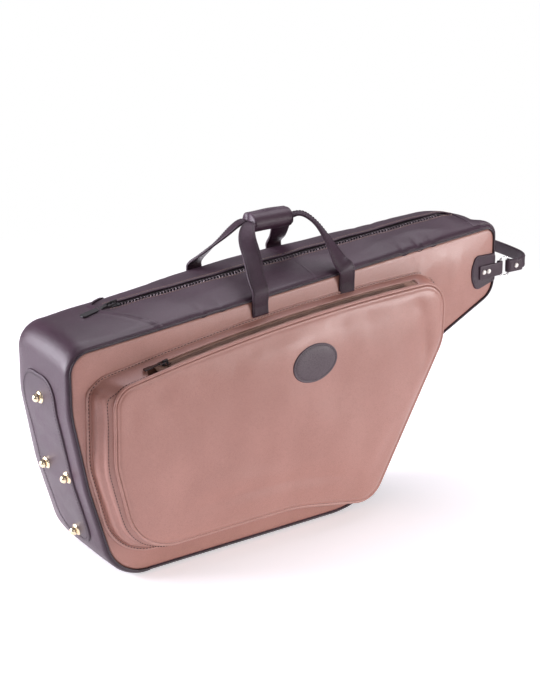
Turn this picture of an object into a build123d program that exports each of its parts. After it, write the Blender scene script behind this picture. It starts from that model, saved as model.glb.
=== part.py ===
from build123d import *
import math
import os

os.makedirs("parts", exist_ok=True)

# Millimetres. X runs from the bell end to the neck end, the front faces -Y, +Z is up.
# Lengths along X below are measured from the bell end and shifted to the origin at the export.

# Bag body, measured at the seams
body_length = 737.0
bell_width = 194.0
neck_width = 112.0
bell_height = 343.0
neck_top = 391.0
neck_bottom = 282.0
toe_x = 66.0
heel_x = 514.0
throat_x = 628.0
throat_z = 228.0
bell_crown = 9.3
neck_crown = 14.0
toe_radius = 70.0
heel_radius = 123.0
throat_radius = 50.0
neck_under_radius = 35.0
neck_top_radius = 22.0
bell_top_radius = 34.0
bell_bend_radius = 150.0
base_press = 0.2

# Wall
leather = 2.0
foam = 8.0
lining = 1.5
welt_radius = 1.9
fit_gap = 0.3
ply_gap = 0.15

# Mouth along the top, between the two lips
mouth_start = 134.0
mouth_end = 676.0
mouth_rim = 16.0
slot_half = 8.5
slot_beyond = 24.0
lip_low = 300.0

# Main zip
tooth_pitch = 5.0
tooth_width = 1.9
tooth_reach = 3.7
tooth_height = 2.6
row_gap = 0.7
tape_width = 11.6
tape_thickness = 0.8
zip_drop = 3.8
slider_length = 16.0
slider_nose = 13.6
slider_tail = 11.2
plate_thickness = 1.2
channel_height = 3.2
post_width = 0.8
bridge_height = 6.0
bail_wire = 1.8
bail_length = 17.0
bail_width = 10.6
pull_length = 46.0
pull_width = 11.0
pull_thickness = 2.2
pull_swing = 17.0
eye_wall = 0.6

# Foot plate and feet on the bell end
plate_length = 250.0
plate_width = 128.0
plate_corner = 34.0
board_thickness = 3.0
foot_ball = 12.0
foot_stem = 6.0
foot_height = 11.0
washer_diameter = 20.0
washer_thickness = 1.6
nut_diameter = 12.0
nut_thickness = 3.0
foot_collar = 9.0
foot_leather = 2.2
feet_height = [62.0, 152.0, 152.0, 238.0]
feet_across = [0.0, -29.0, 29.0, 0.0]
plate_middle_z = 166.0

# Pocket on the front
pocket_depth = 30.0
pocket_wall = 1.8
pocket_left = 57.0
pocket_top_left = 287.0
pocket_bottom = 50.0
pocket_heel_x = 486.0
pocket_heel_z = 24.0
pocket_right = 612.0
pocket_top_right = 333.0
pocket_top_mid_x = 330.0
pocket_top_mid_z = 331.0
pocket_top_radius = 2876.0
flare_left = 24.0
flare_top = 9.0
flare_bottom = 10.0
flare_right = 5.0
piping_radius = 1.8
pocket_slot_depth = 19.0
pocket_slot_half = 6.0
pocket_zip_from = 150.0
pocket_zip_to = 548.0
pocket_zip_beyond = 24.0
pocket_slider_length = 12.0
coil_radius = 1.1
patch_length = 78.0
patch_height = 54.0
patch_x = 368.0
patch_z = 264.0
patch_tilt = 5.0
patch_thickness = 1.8

# Carrying handles
root_left_x = 314.0
root_right_x = 456.0
root_length = 31.0
strap_width = 26.0
strap_thickness = 3.6
grip_x = 373.0
grip_z = 449.0
grip_length = 82.0
grip_half_width = 26.0
grip_half_height = 17.0
grip_inset = 12.2
handle_bend = 34.0
root_rise = 4.0

# Neck end tabs, rings and end strap
tab_width = 46.0
tab_height = 54.0
tab_z = 320.0
tab_thickness = 2.4
ring_wire = 3.0
ring_width = 19.0
ring_height = 31.0
end_strap_height = 18.0
end_strap_thickness = 3.2
end_strap_reach = 60.0
loop_height = 20.0
rivet_diameter = 7.0
rivet_height = 1.4

# Inside
divider_height = 190.0
divider_length = 300.0
divider_x = 275.0
divider_y = 30.0
divider_pad = 4.5
tape_strip = 1.0

origin_x = (toe_x + heel_x) / 2
taper = (neck_width - bell_width) / 2 / body_length
stretch = math.hypot(1, taper)


def half_width(x):
    return bell_width / 2 + taper * x


def seam_z(x):
    return bell_height + (neck_top - bell_height) * x / body_length


def crest_z(x):
    return seam_z(x) + bell_crown + (neck_crown - bell_crown) * x / body_length


# Seam outline, anticlockwise in X and Z: x, z, corner radius, rise of the crown at that corner.
# The base line lies base_press low, and the base is then cut flat where it stands on the floor.
bag_corners = [
    (toe_x, -base_press, toe_radius, 0),
    (heel_x, -base_press, heel_radius, 0),
    (throat_x, throat_z, throat_radius, 0),
    (body_length, neck_bottom, neck_under_radius, 0),
    (body_length, neck_top, neck_top_radius, neck_crown),
    (0, bell_height, bell_top_radius, bell_crown),
    (1, 255, bell_bend_radius, 0),
    (24, 142, bell_bend_radius, 0),
]

# Edge of the pocket's face panel
pocket_corners = [
    (88, pocket_bottom, 78, 0),
    (350, pocket_bottom, 300, 0),
    (pocket_heel_x, pocket_heel_z, 38, 0),
    (pocket_right - 2, 245, 60, 0),
    (pocket_right, pocket_top_right, 38, 0),
    (pocket_top_mid_x, pocket_top_mid_z, pocket_top_radius, 0),
    (pocket_left, pocket_top_left, 28, 0),
    (pocket_left - 1, 180, 100, 0),
]

# How far each corner of the pocket's sewn base lies outside the panel's edge
pocket_flare = [
    (-flare_left * 0.8, -flare_bottom),
    (0, -flare_bottom),
    (flare_right, -flare_bottom * 0.4),
    (flare_right, 0),
    (flare_right, flare_top),
    (0, flare_top),
    (-flare_left, flare_top),
    (-flare_left, 0),
]
pocket_base = [
    (x + dx, z + dz, r + (flare_top if r == pocket_top_radius else 0), 0)
    for (x, z, r, rise), (dx, dz) in zip(pocket_corners, pocket_flare)
]


def moved_out(corners, offset, crown_share=0.0):
    """Corners of the outline moved outwards by offset, with their radii to match."""
    moved = []
    count = len(corners)
    for i, (x, z, radius, rise) in enumerate(corners):
        back, ahead = corners[i - 1], corners[(i + 1) % count]
        z_here = z + rise * crown_share
        d_in = Vector(x - back[0], z_here - back[1] - back[3] * crown_share).normalized()
        d_out = Vector(ahead[0] - x, ahead[1] + ahead[3] * crown_share - z_here).normalized()
        n_in, n_out = Vector(d_in.Y, -d_in.X), Vector(d_out.Y, -d_out.X)
        shift = (n_in + n_out) * (offset / (1 + n_in.dot(n_out)))
        turn = d_in.X * d_out.Y - d_in.Y * d_out.X
        moved.append((x + shift.X, z_here + shift.Y, radius + math.copysign(offset, turn * offset)))
    return moved


def side_plane(side, depth=0.0):
    """Plane of the front (-1) or rear (+1) face, depth outside it; its own y is up."""
    return Plane(
        origin=(0, side * (bell_width / 2 + depth), 0),
        x_dir=(1, side * taper, 0),
        z_dir=(side * taper, -1, 0),
    )


def outline(corners, plane=Plane.XZ, along=1.0):
    line = FilletPolyline(
        *[(corner[0] * along, corner[1]) for corner in corners],
        radius=[max(corner[2], 0.5) for corner in corners],
        close=True,
    )
    return plane * line


def side_slab(corners, side, depth, thickness):
    """Plate of an outline, its outer face depth outside the panel plane, its body inwards."""
    face = make_face(outline(corners, side_plane(side, depth), stretch))
    return extrude(face, amount=thickness, dir=(0, -side, 0))


def crowned(offset, inset):
    """Closed body of the bag, offset from the seam outline, with its sides inset in Y."""
    wires = []
    for side in (-1, 0, 1):
        corners = moved_out(bag_corners, offset, 0.0 if side else 1.0)
        plane = side_plane(side, -inset) if side else Plane.XZ
        wires.append(Wire(outline(corners, plane, stretch if side else 1.0).edges()))
    return Solid.make_loft(wires)


def wall_band(outer, inner, inset):
    """The gusset between two offsets of the outline."""
    return crowned(outer, inset) - crowned(inner, inset - 3)


def plan_prism(points, low=-50.0, high=600.0):
    """Upright prism on a plan polygon."""
    face = make_face(Polyline(*points, close=True))
    return Pos(0, 0, low) * extrude(face, amount=high - low)


def lip_region(side, start, end, inner):
    """Plan area of a lip, from the seam to a distance inner from the middle."""
    return plan_prism(
        [
            (start, side * inner),
            (end, side * inner),
            (end, side * (half_width(end) + 20)),
            (start, side * (half_width(start) + 20)),
        ],
        low=lip_low,
    )


def save(part, name):
    placed = Pos(-origin_x, 0, 0) * part
    placed.label = name
    export_step(placed, f"parts/{name}.step")


side_names = {-1: "front", 1: "rear"}


# Panels

def panel_layers(side):
    name = side_names[side]
    depth, inset = 0.0, 0.0
    for layer, thickness in (("leather", leather), ("foam", foam), ("lining", lining)):
        inset += thickness + ply_gap
        slab = side_slab(moved_out(bag_corners, -inset), side, -depth, thickness)
        save(slab, f"{name}_panel_{layer}")
        depth += thickness


def welt(side):
    """Cord sewn along the seam, lying on the panel's edge."""
    corners = moved_out(bag_corners, -welt_radius - base_press)
    path = Wire(outline(corners, side_plane(side, welt_radius + ply_gap), stretch).edges())
    section = Plane(origin=path @ 0, z_dir=path % 0) * Circle(welt_radius)
    save(sweep(section, path=path, transition=Transition.ROUND), f"{side_names[side]}_welt")


# Gusset

def foot_frames():
    """A frame at each foot, its z outwards from the bell end's outer face."""
    wall_points = [(0, bell_height), (1, 255), (24, 142), (toe_x, 0)]
    frames = []
    for z, y in zip(feet_height, feet_across):
        for (xa, za), (xb, zb) in zip(wall_points, wall_points[1:]):
            if zb <= z <= za:
                along = Vector(xa - xb, 0, za - zb).normalized()
                outward = Vector(-along.Z, 0, along.X)
                x = xb + (xa - xb) * (z - zb) / (za - zb)
                frames.append(Plane(origin=(x, y, z), x_dir=(0, 1, 0), z_dir=outward))
    return frames


def foot_holes(radius, length=80.0):
    return [frame * Cylinder(radius, length) for frame in foot_frames()]


def bell_band(outer, inner, width, height, corner):
    """Rounded patch of the bell end between two offsets of the outline."""
    blank = Plane(origin=(-60, 0, plate_middle_z), x_dir=(0, 1, 0), z_dir=(1, 0, 0))
    cutter = extrude(blank * RectangleRounded(width, height, corner), amount=60 + toe_x + 20)
    return (crowned(outer, 0) - crowned(inner, -3)) & cutter


def gusset_pieces():
    floor = Pos(heel_x / 2, 0, -20) * Box(2 * heel_x, 2 * bell_width, 40)
    band = wall_band(0, -leather, 0) - floor
    for side in (-1, 1):
        band -= lip_region(side, mouth_start, mouth_end, -1)
    middle = Pos((mouth_start + mouth_end) / 2, 0, 400)
    slot = SlotOverall(mouth_end - mouth_start + 2 * slot_beyond, 2 * slot_half)
    band -= middle * extrude(slot, amount=100, both=True)
    band -= foot_holes(foot_stem / 2 + 0.1)
    toe_split = toe_x + toe_radius
    bell_cut = Pos(toe_split / 2 - 50, 0, 200) * Box(toe_split + 100, 300, 600)
    neck_low = neck_bottom - 10
    neck_cut = Pos(body_length, 0, neck_low + 100) * Box(2 * (body_length - mouth_end + 20), 300, 200)
    save(band & bell_cut, "bell_gusset")
    save(band & neck_cut, "neck_gusset")
    save(band - bell_cut - neck_cut, "base_gusset")


def mouth_prism():
    inner = leather + mouth_rim
    return plan_prism(
        [
            (mouth_start, -half_width(mouth_start) + inner),
            (mouth_end, -half_width(mouth_end) + inner),
            (mouth_end, half_width(mouth_end) - inner),
            (mouth_start, half_width(mouth_start) - inner),
        ],
        low=lip_low,
    )


def gusset_padding():
    mouth = mouth_prism()
    foam_out, foam_in = -leather - ply_gap, -leather - foam
    room_length = mouth_end - mouth_start + 2 * slot_beyond + 12
    zip_room = Pos((mouth_start + mouth_end) / 2, 0, 400) * Box(room_length, 2 * slot_half + 24, 200)
    padding = wall_band(foam_out, foam_in, leather + ply_gap) - mouth - zip_room
    board_room = board_thickness + ply_gap
    padding -= bell_band(0, foam_out - board_room, plate_width + 1, plate_length + 1, plate_corner)
    for frame in foot_frames():
        nut_room = board_thickness + nut_thickness + leather + 0.6
        padding -= frame * Pos(0, 0, -nut_room / 2) * Cylinder(nut_diameter / 2 + fit_gap, nut_room)
    save(padding, "gusset_foam")
    soft_out = foam_in - ply_gap
    soft = wall_band(soft_out, soft_out - lining, leather + foam + 2 * ply_gap)
    save(soft - mouth, "gusset_lining")


def lips():
    band = wall_band(0, -leather + fit_gap, 0)
    for side in (-1, 1):
        region = lip_region(side, mouth_start + fit_gap, mouth_end - fit_gap, slot_half)
        save(band & region, f"{side_names[side]}_lip")


# Main zip

zip_slope = (crest_z(body_length) - crest_z(0)) / body_length
zip_stretch = math.hypot(1, zip_slope)
chain_length = (mouth_end - mouth_start - 2 * fit_gap) * zip_stretch
zip_plane = Plane(
    origin=(mouth_start + fit_gap, 0, crest_z(mouth_start + fit_gap) - zip_drop * zip_stretch),
    x_dir=(1, 0, zip_slope),
    z_dir=(-zip_slope, 0, 1),
)
tape_inner = row_gap + tooth_reach
slider_rest = -slider_length / 2 - 1.0
slider_travel = chain_length + slider_length + 2.0


def tooth_row(side):
    """One row of teeth on its bead: the two rows are half a pitch apart."""
    bead = 1.2
    count = int(chain_length / tooth_pitch) - 1
    first = tooth_pitch * (0.5 if side < 0 else 1.0)
    middle_y = side * (tape_inner - tooth_reach / 2)
    teeth = [
        Pos(first + i * tooth_pitch, middle_y) * Rectangle(tooth_width, tooth_reach)
        for i in range(count)
    ]
    bar = Pos(chain_length / 2, side * (tape_inner - bead / 2)) * Rectangle(chain_length, bead)
    comb = Sketch() + [bar] + teeth
    return Pos(0, 0, -tooth_height / 2) * extrude(comb, amount=tooth_height)


def tape(side, start, end):
    width = tape_width
    middle = Pos((start + end) / 2, side * (tape_inner + width / 2))
    return middle * Box(end - start, width, tape_thickness)


def main_zip():
    for side in (-1, 1):
        name = side_names[side]
        save(zip_plane * tape(side, 0, chain_length), f"{name}_zip_tape")
        save(zip_plane * tooth_row(side), f"{name}_zip_teeth")
    stub = slot_beyond + 4
    ends = {"bell": (-stub, -fit_gap), "neck": (chain_length + fit_gap, chain_length + stub)}
    for name, (start, end) in ends.items():
        pair = [tape(side, start, end) for side in (-1, 1)]
        outer = start + 6 if name == "bell" else end - 6
        bridge = Pos(outer, 0) * Box(12, 2 * tape_inner, tape_thickness)
        save(zip_plane * (pair[0] + pair[1] + bridge), f"{name}_zip_end")


def slider_body(length, nose, tail, channel, post, slot):
    """Two shaped plates joined by a thin wedge post, with turned-in flanges and a bridge."""
    shape = [
        (-length / 2 + 2, -nose / 2 + 1.5),
        (-length / 2 + 5, -nose / 2),
        (length / 2 - 5, -tail / 2),
        (length / 2, -tail / 2),
        (length / 2, tail / 2),
        (length / 2 - 5, tail / 2),
        (-length / 2 + 5, nose / 2),
        (-length / 2 + 2, nose / 2 - 1.5),
        (-length / 2, 0),
    ]
    plate = extrude(make_face(Polyline(*shape, close=True)), amount=plate_thickness)
    top = Pos(0, 0, channel / 2) * plate
    bottom = Pos(0, 0, -channel / 2 - plate_thickness) * plate
    wedge = Pos(-length / 2 + 5, 0) * Box(5, post, channel)
    body = top + bottom + wedge
    flange = (channel - slot) / 2
    for side in (-1, 1):
        for level in (-1, 1):
            z = level * (channel / 2 - flange / 2)
            body += Pos(2, side * (tail / 2 - 0.5), z) * Box(length - 6, 1.0, flange)
    arch = Pos(0, 0, channel / 2 + plate_thickness) * (
        Pos(0, 0, bridge_height / 2) * Box(length * 0.62, 2.2, bridge_height)
        - Pos(0, 0, bridge_height / 2 - 0.8) * Box(length * 0.62 - 3.0, 4, bridge_height - 1.6)
    )
    return body + arch


def pull_piece(bail_long, bail_wide, wire, tab_long, tab_wide, tab_thick):
    """Wire bail and a shaped tab with a rolled eye, lying along -X from the hinge at the local origin."""
    inner = Pos(-bail_long / 2 + wire / 2) * RectangleRounded(bail_long - 2 * wire, bail_wide - 2 * wire, 1.2)
    outer = Pos(-bail_long / 2 + wire / 2) * RectangleRounded(bail_long, bail_wide, 2.4)
    bail = Pos(0, 0, -wire / 2) * extrude(outer - inner, amount=wire)
    start = -bail_long + wire
    points = [
        (start, -tab_wide * 0.28),
        (start - 8, -tab_wide * 0.28),
        (start - 14, -tab_wide / 2),
        (start - tab_long, -tab_wide / 2),
        (start - tab_long, tab_wide / 2),
        (start - 14, tab_wide / 2),
        (start - 8, tab_wide * 0.28),
        (start, tab_wide * 0.28),
    ]
    neck, tip = tab_wide * 0.26, tab_wide * 0.35
    radii = [1, neck, neck, tip, tip, neck, neck, 1]
    face = make_face(FilletPolyline(*points, radius=radii, close=True))
    tab = Pos(0, 0, -tab_thick / 2) * extrude(face, amount=tab_thick)
    along_bar = Pos(start, 0) * Rot(90, 0, 0)
    bore = wire / 2 + ply_gap
    eye = along_bar * Cylinder(bore + eye_wall, bail_wide - 2 * wire - 2 * fit_gap)
    return Compound([*bail.solids(), *((tab + eye) - along_bar * Cylinder(bore, bail_wide)).solids()])


slider_plane = Plane(
    origin=zip_plane.origin + zip_plane.x_dir * slider_rest, x_dir=zip_plane.x_dir, z_dir=zip_plane.z_dir
)
wire_corner = bail_wire / 2 * math.sqrt(2)
pull_lift = channel_height / 2 + plate_thickness + bridge_height - 1.6 - wire_corner - ply_gap


def main_slider():
    body = slider_body(slider_length, slider_nose, slider_tail, channel_height, post_width, 1.6)
    save(slider_plane * body, "main_slider")
    pull = pull_piece(bail_length, bail_width, bail_wire, pull_length, pull_width, pull_thickness)
    save(slider_plane * Pos(0, 0, pull_lift) * Rot(0, 0, pull_swing) * pull, "main_pull")


# Bell end: foot plate, feet and their board

def foot_set():
    stems = foot_holes(foot_stem / 2 + 0.1)
    plate_out = foot_leather + ply_gap
    save(bell_band(plate_out, ply_gap, plate_width, plate_length, plate_corner) - stems, "foot_plate")
    board_out = -leather - ply_gap
    board_in = board_out - board_thickness
    board = bell_band(board_out, board_in, plate_width, plate_length, plate_corner)
    save(board - stems, "end_board")
    washer_low = plate_out + ply_gap
    stem_low = board_in - nut_thickness - 2 * ply_gap
    ball_high = washer_low + washer_thickness + foot_height
    profile = Polyline(
        (0, stem_low),
        (foot_stem / 2, stem_low),
        (foot_stem / 2, washer_low + washer_thickness),
        (foot_collar / 2, washer_low + washer_thickness),
        (foot_collar / 2, washer_low + washer_thickness + 2),
        (foot_stem / 2 + 0.4, washer_low + washer_thickness + 3),
    )
    middle = ball_high - foot_ball / 2
    start = profile @ 1
    drop = math.asin((middle - start.Y) / (foot_ball / 2))
    ball = CenterArc((0, middle), foot_ball / 2, -math.degrees(drop), 90 + math.degrees(drop))
    joint = Line(start, ball @ 0)
    shape = make_face([*profile.edges(), joint, ball, Line(ball @ 1, (0, stem_low))])
    foot = revolve(Plane.XZ * shape, Axis.Z)
    washer_shape = Circle(washer_diameter / 2) - Circle(foot_stem / 2 + 0.1)
    washer = Pos(0, 0, washer_low) * chamfer(
        extrude(washer_shape, amount=washer_thickness).edges().filter_by(GeomType.CIRCLE).group_by(Axis.Z)[-1],
        0.5,
    )
    nut = Pos(0, 0, board_in - nut_thickness - ply_gap) * extrude(
        Circle(nut_diameter / 2) - Circle(foot_stem / 2 + 0.1), amount=nut_thickness
    )
    for name, piece in (("feet", foot), ("foot_washers", washer), ("foot_nuts", nut)):
        save(Compound([frame * piece for frame in foot_frames()]), name)


# Pocket

def arc_centre(corners, index):
    """Centre of the fillet arc at one corner of an outline."""
    x, z, radius = corners[index][:3]
    back, ahead = corners[index - 1], corners[(index + 1) % len(corners)]
    d_in = Vector(x - back[0], z - back[1]).normalized()
    d_out = Vector(ahead[0] - x, ahead[1] - z).normalized()
    inward = (d_out - d_in).normalized()
    half_turn = math.radians(d_in.get_angle(d_out)) / 2
    return Vector(x, z) + inward * (radius / math.cos(half_turn))


top_corner = 5
zip_centre = arc_centre(pocket_corners, top_corner)
zip_radius = pocket_top_radius + flare_top * (1 - pocket_slot_depth / pocket_depth) - pocket_wall / 2


def arc_angle(x):
    return math.degrees(math.acos((x - zip_centre.X) / zip_radius))


def arc_strip(x_from, x_to, thickness, depth, width):
    """Curved strip along the pocket's zip, its width running outwards from depth."""
    start, size = arc_angle(x_to), arc_angle(x_from) - arc_angle(x_to)
    edges = [CenterArc(zip_centre, zip_radius + t, start, size) for t in (-thickness / 2, thickness / 2)]
    ends = [Line(edges[0] @ end, edges[1] @ end) for end in (0, 1)]
    face = scale(make_face([*edges, *ends]), by=(stretch, 1, 1))
    return extrude(side_plane(-1, depth) * face, amount=width, dir=(0, -1, 0))


def pocket_walls():
    base, rim = pocket_base, pocket_corners
    shells = []
    for inset, extra in ((0.0, 0.0), (-pocket_wall, 2.0)):
        low = side_plane(-1, fit_gap - extra)
        high = side_plane(-1, pocket_depth + extra)
        wires = [
            Wire(outline(moved_out(base, inset), low, stretch).edges()),
            Wire(outline(moved_out(rim, inset), high, stretch).edges()),
        ]
        shells.append(Solid.make_loft(wires, ruled=True))
    wall = shells[0] - shells[1]
    reach = pocket_depth - pocket_slot_depth + pocket_slot_half + 2
    middle = (pocket_zip_from + pocket_zip_to) / 2
    gap = pocket_zip_to - pocket_zip_from + 2 * pocket_zip_beyond
    slot = side_plane(-1, pocket_slot_depth - pocket_slot_half) * Pos(
        middle * stretch, pocket_top_mid_z, reach / 2
    )
    save(wall - slot * Box(gap * stretch, 90, reach), "pocket_bellows")


def pocket_zip():
    start, end = pocket_zip_from, pocket_zip_to
    outer_start, outer_end = start - pocket_zip_beyond + 1.0, end + pocket_zip_beyond - 1.0
    coil = 2 * coil_radius
    upper_low = pocket_slot_depth - pocket_slot_half
    upper_width = pocket_slot_half - coil - row_gap
    lower_low = pocket_slot_depth + row_gap + coil
    lower_width = pocket_depth + fit_gap + pocket_wall / 2 - piping_radius - ply_gap - lower_low
    inner_width = 2 * (coil + row_gap)
    upper = arc_strip(outer_start, outer_end, tape_thickness, upper_low + ply_gap, upper_width - ply_gap)
    for side_start, side_end in ((outer_start, start - fit_gap), (end + fit_gap, outer_end)):
        upper += arc_strip(side_start, side_end, tape_thickness, lower_low, lower_width)
        cross = 6 if side_start < start else -6
        cross_ends = (side_start, side_start + 6) if side_start < start else (side_end - 6, side_end)
        upper += arc_strip(*cross_ends, tape_thickness, upper_low + upper_width, inner_width)
    save(upper, "pocket_zip_tape_upper")
    save(arc_strip(start, end, coil, pocket_slot_depth - row_gap - coil, coil), "pocket_zip_coil_upper")
    save(arc_strip(start, end, tape_thickness, lower_low, lower_width), "pocket_zip_tape_lower")
    save(arc_strip(start, end, coil, pocket_slot_depth + row_gap, coil), "pocket_zip_coil_lower")


def pocket_panel():
    depth = pocket_depth + fit_gap + pocket_wall
    save(side_slab(pocket_corners, -1, depth, pocket_wall), "pocket_panel")
    corners = moved_out(pocket_corners, piping_radius + ply_gap)
    plane = side_plane(-1, depth - pocket_wall / 2)
    path = Wire(outline(corners, plane, stretch).edges())
    section = Plane(origin=path @ 0, z_dir=path % 0) * Circle(piping_radius)
    save(sweep(section, path=path, transition=Transition.ROUND), "pocket_piping")
    patch = Pos(patch_x * stretch, patch_z) * Rot(0, 0, patch_tilt) * Ellipse(patch_length / 2, patch_height / 2)
    plane = side_plane(-1, depth + ply_gap)
    save(extrude(plane * patch, amount=patch_thickness, dir=(0, -1, 0)), "oval_patch")


def pocket_slider():
    x = pocket_zip_from - pocket_slider_length / 2 - 1.5
    angle = math.radians(arc_angle(x))
    local = side_plane(-1, pocket_slot_depth)
    radial = local.x_dir * math.cos(angle) + Vector(0, 0, math.sin(angle))
    tangent = local.x_dir * math.sin(angle) - Vector(0, 0, math.cos(angle))
    point = zip_centre + Vector(math.cos(angle), math.sin(angle)) * zip_radius
    origin = local.origin + local.x_dir * (point.X * stretch) + Vector(0, 0, point.Y)
    frame = Plane(origin=origin, x_dir=tangent, z_dir=radial)
    body = slider_body(pocket_slider_length, 10.6, 9.0, 2.8, post_width, 1.6)
    save(frame * body, "pocket_slider")
    lift = 1.4 + plate_thickness + bridge_height - 1.6 - bail_wire / 2 - fit_gap
    pull = pull_piece(12.0, 7.0, 1.5, 24.0, 7.0, 1.8)
    save(frame * Pos(0, 0, lift) * pull, "pocket_pull")
    return frame, lift


# Handles

def band_face(points, radii, width):
    """Flat band of a width about a centre line with rounded corners."""
    sides = []
    for side in (1, -1):
        offset = side * width / 2
        edge_points, edge_radii = [], []
        for i, (x, y) in enumerate(points):
            here = Vector(x, y)
            dirs = []
            if i > 0:
                dirs.append((here - Vector(*points[i - 1])).normalized())
            if i < len(points) - 1:
                dirs.append((Vector(*points[i + 1]) - here).normalized())
            normals = [Vector(-d.Y, d.X) for d in dirs]
            if len(normals) == 1:
                edge_points.append(here + normals[0] * offset)
                continue
            shift = (normals[0] + normals[1]) * (offset / (1 + normals[0].dot(normals[1])))
            turn = dirs[0].X * dirs[1].Y - dirs[0].Y * dirs[1].X
            edge_points.append(here + shift)
            edge_radii.append(max(radii[i - 1] - math.copysign(offset, turn * offset), 0.3))
        sides.append(FilletPolyline(*edge_points, radius=edge_radii))
    caps = [Line(sides[0] @ end, sides[1] @ end) for end in (0, 1)]
    return make_face([*sides[0].edges(), *sides[1].edges(), *caps])


handle_out = strap_thickness / 2 + 2 * welt_radius + 2 * ply_gap + fit_gap


def handle_root(x):
    """Top of a strap root on the front panel."""
    return Vector(x, -half_width(x) - handle_out, seam_z(x) + root_rise)


root_left, root_right = handle_root(root_left_x), handle_root(root_right_x)
root_axis = (root_right - root_left).normalized()
grip_point = Vector(grip_x, -grip_inset, grip_z)
handle_normal = root_axis.cross(grip_point - root_left).normalized()
handle_plane = Plane(origin=root_left, x_dir=root_axis, z_dir=handle_normal)
grip_local = handle_plane.to_local_coords(grip_point)
root_span = (root_right - root_left).length


def handle():
    top = grip_local.Y
    left, right = grip_local.X - grip_length / 2, grip_local.X + grip_length / 2
    points = [(0, 0), (1, 34), (left - 7, top), (right + 8, top), (root_span - 1, 44), (root_span, 0)]
    radii = [60, handle_bend, handle_bend, 70]
    band = extrude(band_face(points, radii, strap_width), amount=strap_thickness / 2, both=True)
    strap = handle_plane * band
    oval = Plane(origin=(grip_x, 0, grip_z), x_dir=(0, 1, 0), z_dir=(1, 0, 0)) * Ellipse(
        grip_half_width, grip_half_height
    )
    tube = extrude(oval, amount=grip_length / 2, both=True)
    tube &= Pos(grip_x, -grip_half_width - fit_gap / 2, grip_z) * Box(
        2 * grip_length, 2 * grip_half_width, 4 * grip_half_height
    )
    wrap = tube - strap
    return strap, wrap


def strap_roots():
    """Sewn lower ends of the straps: a flat pad bridging the welt on each root."""
    pads = []
    for x in (root_left_x, root_right_x):
        top = handle_root(x).Z - strap_thickness / 2 - fit_gap
        outer = handle_out + strap_thickness / 2
        profile = [
            (-ply_gap, -root_length),
            (-strap_thickness - ply_gap, -root_length),
            (-strap_thickness - ply_gap, -root_length + 18),
            (-outer, -9),
            (-outer, -3),
            (-outer + strap_thickness * 0.6, 0),
            (-outer + strap_thickness, 0),
            (-outer + strap_thickness, -7.5),
            (-ply_gap, -root_length + 17),
        ]
        section = Plane(origin=(x, -half_width(x), top), x_dir=(taper, 1, 0), z_dir=root_axis)
        face = section * make_face(Polyline(*profile, close=True))
        pads.append(extrude(face, amount=strap_width / 2, both=True))
    return Compound(pads)


def handles():
    strap, wrap = handle()
    roots = strap_roots()
    for side, name in side_names.items():
        for piece, label in ((strap, "handle_strap"), (wrap, "grip_wrap"), (roots, "strap_roots")):
            save(piece if side < 0 else mirror(piece, about=Plane.XZ), f"{name}_{label}")


# Neck end

ring_x = body_length + 6.5
ring_y = -half_width(ring_x) - 2.5
ring_reach = ring_width - ring_wire


def neck_fittings():
    plane = side_plane(-1, ply_gap)
    right = body_length - 2 * welt_radius - 1.0
    left = right - tab_width
    half = tab_height / 2
    points = [
        (right, tab_z - half * 0.62),
        (right, tab_z + half * 0.9),
        (left + 8, tab_z + half),
        (left, tab_z + half * 0.35),
        (left, tab_z - half * 0.3),
        (left + 10, tab_z - half),
    ]
    face = make_face(FilletPolyline(*[(x * stretch, z) for x, z in points], radius=[4, 4, 9, 30, 30, 10], close=True))
    tab = extrude(plane * face, amount=tab_thickness, dir=(0, -1, 0))
    # Strap folded round the ring's inner bar, in plan
    face_y = -half_width(right) - ply_gap - tab_thickness
    step = face_y - 1.0 - 2 * ply_gap
    proud = ring_y - 3.1
    loop_points = [
        (right - 30, step + taper * 30),
        (right - 6, step + taper * 6),
        (right + 1.5, proud),
        (ring_x + 3.1, proud),
        (ring_x + 3.1, ring_y + 3.1),
        (ring_x - 4.4, ring_y + 3.1),
    ]
    loop = Pos(0, 0, tab_z - loop_height / 2) * extrude(
        band_face(loop_points, [4, 4, 3.0, 3.0], 2.0), amount=loop_height
    )
    rivets = Compound(
        [
            Plane(origin=(right - 14 - dx, step - 1.3 + taper * (14 + dx), tab_z), z_dir=(-taper, -1, 0))
            * Cylinder(rivet_diameter / 2, rivet_height, align=(Align.CENTER, Align.CENTER, Align.MIN))
            for dx in (0, 9)
        ]
    )
    path = Plane(origin=(ring_x + ring_reach / 2, ring_y, tab_z), x_dir=(1, 0, 0), z_dir=(0, -1, 0)) * (
        RectangleRounded(ring_reach, ring_height - ring_wire, 4.0)
    )
    wire = path.wire()
    ring = sweep(Plane(origin=wire @ 0, z_dir=wire % 0) * Circle(ring_wire / 2), path=wire)
    for side, name in side_names.items():
        pieces = ((tab, "tab"), (loop, "tab_loop"), (rivets, "tab_rivets"), (ring, "ring"))
        for piece, label in pieces:
            save(piece if side < 0 else mirror(piece, about=Plane.XZ), f"{name}_{label}")


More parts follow.
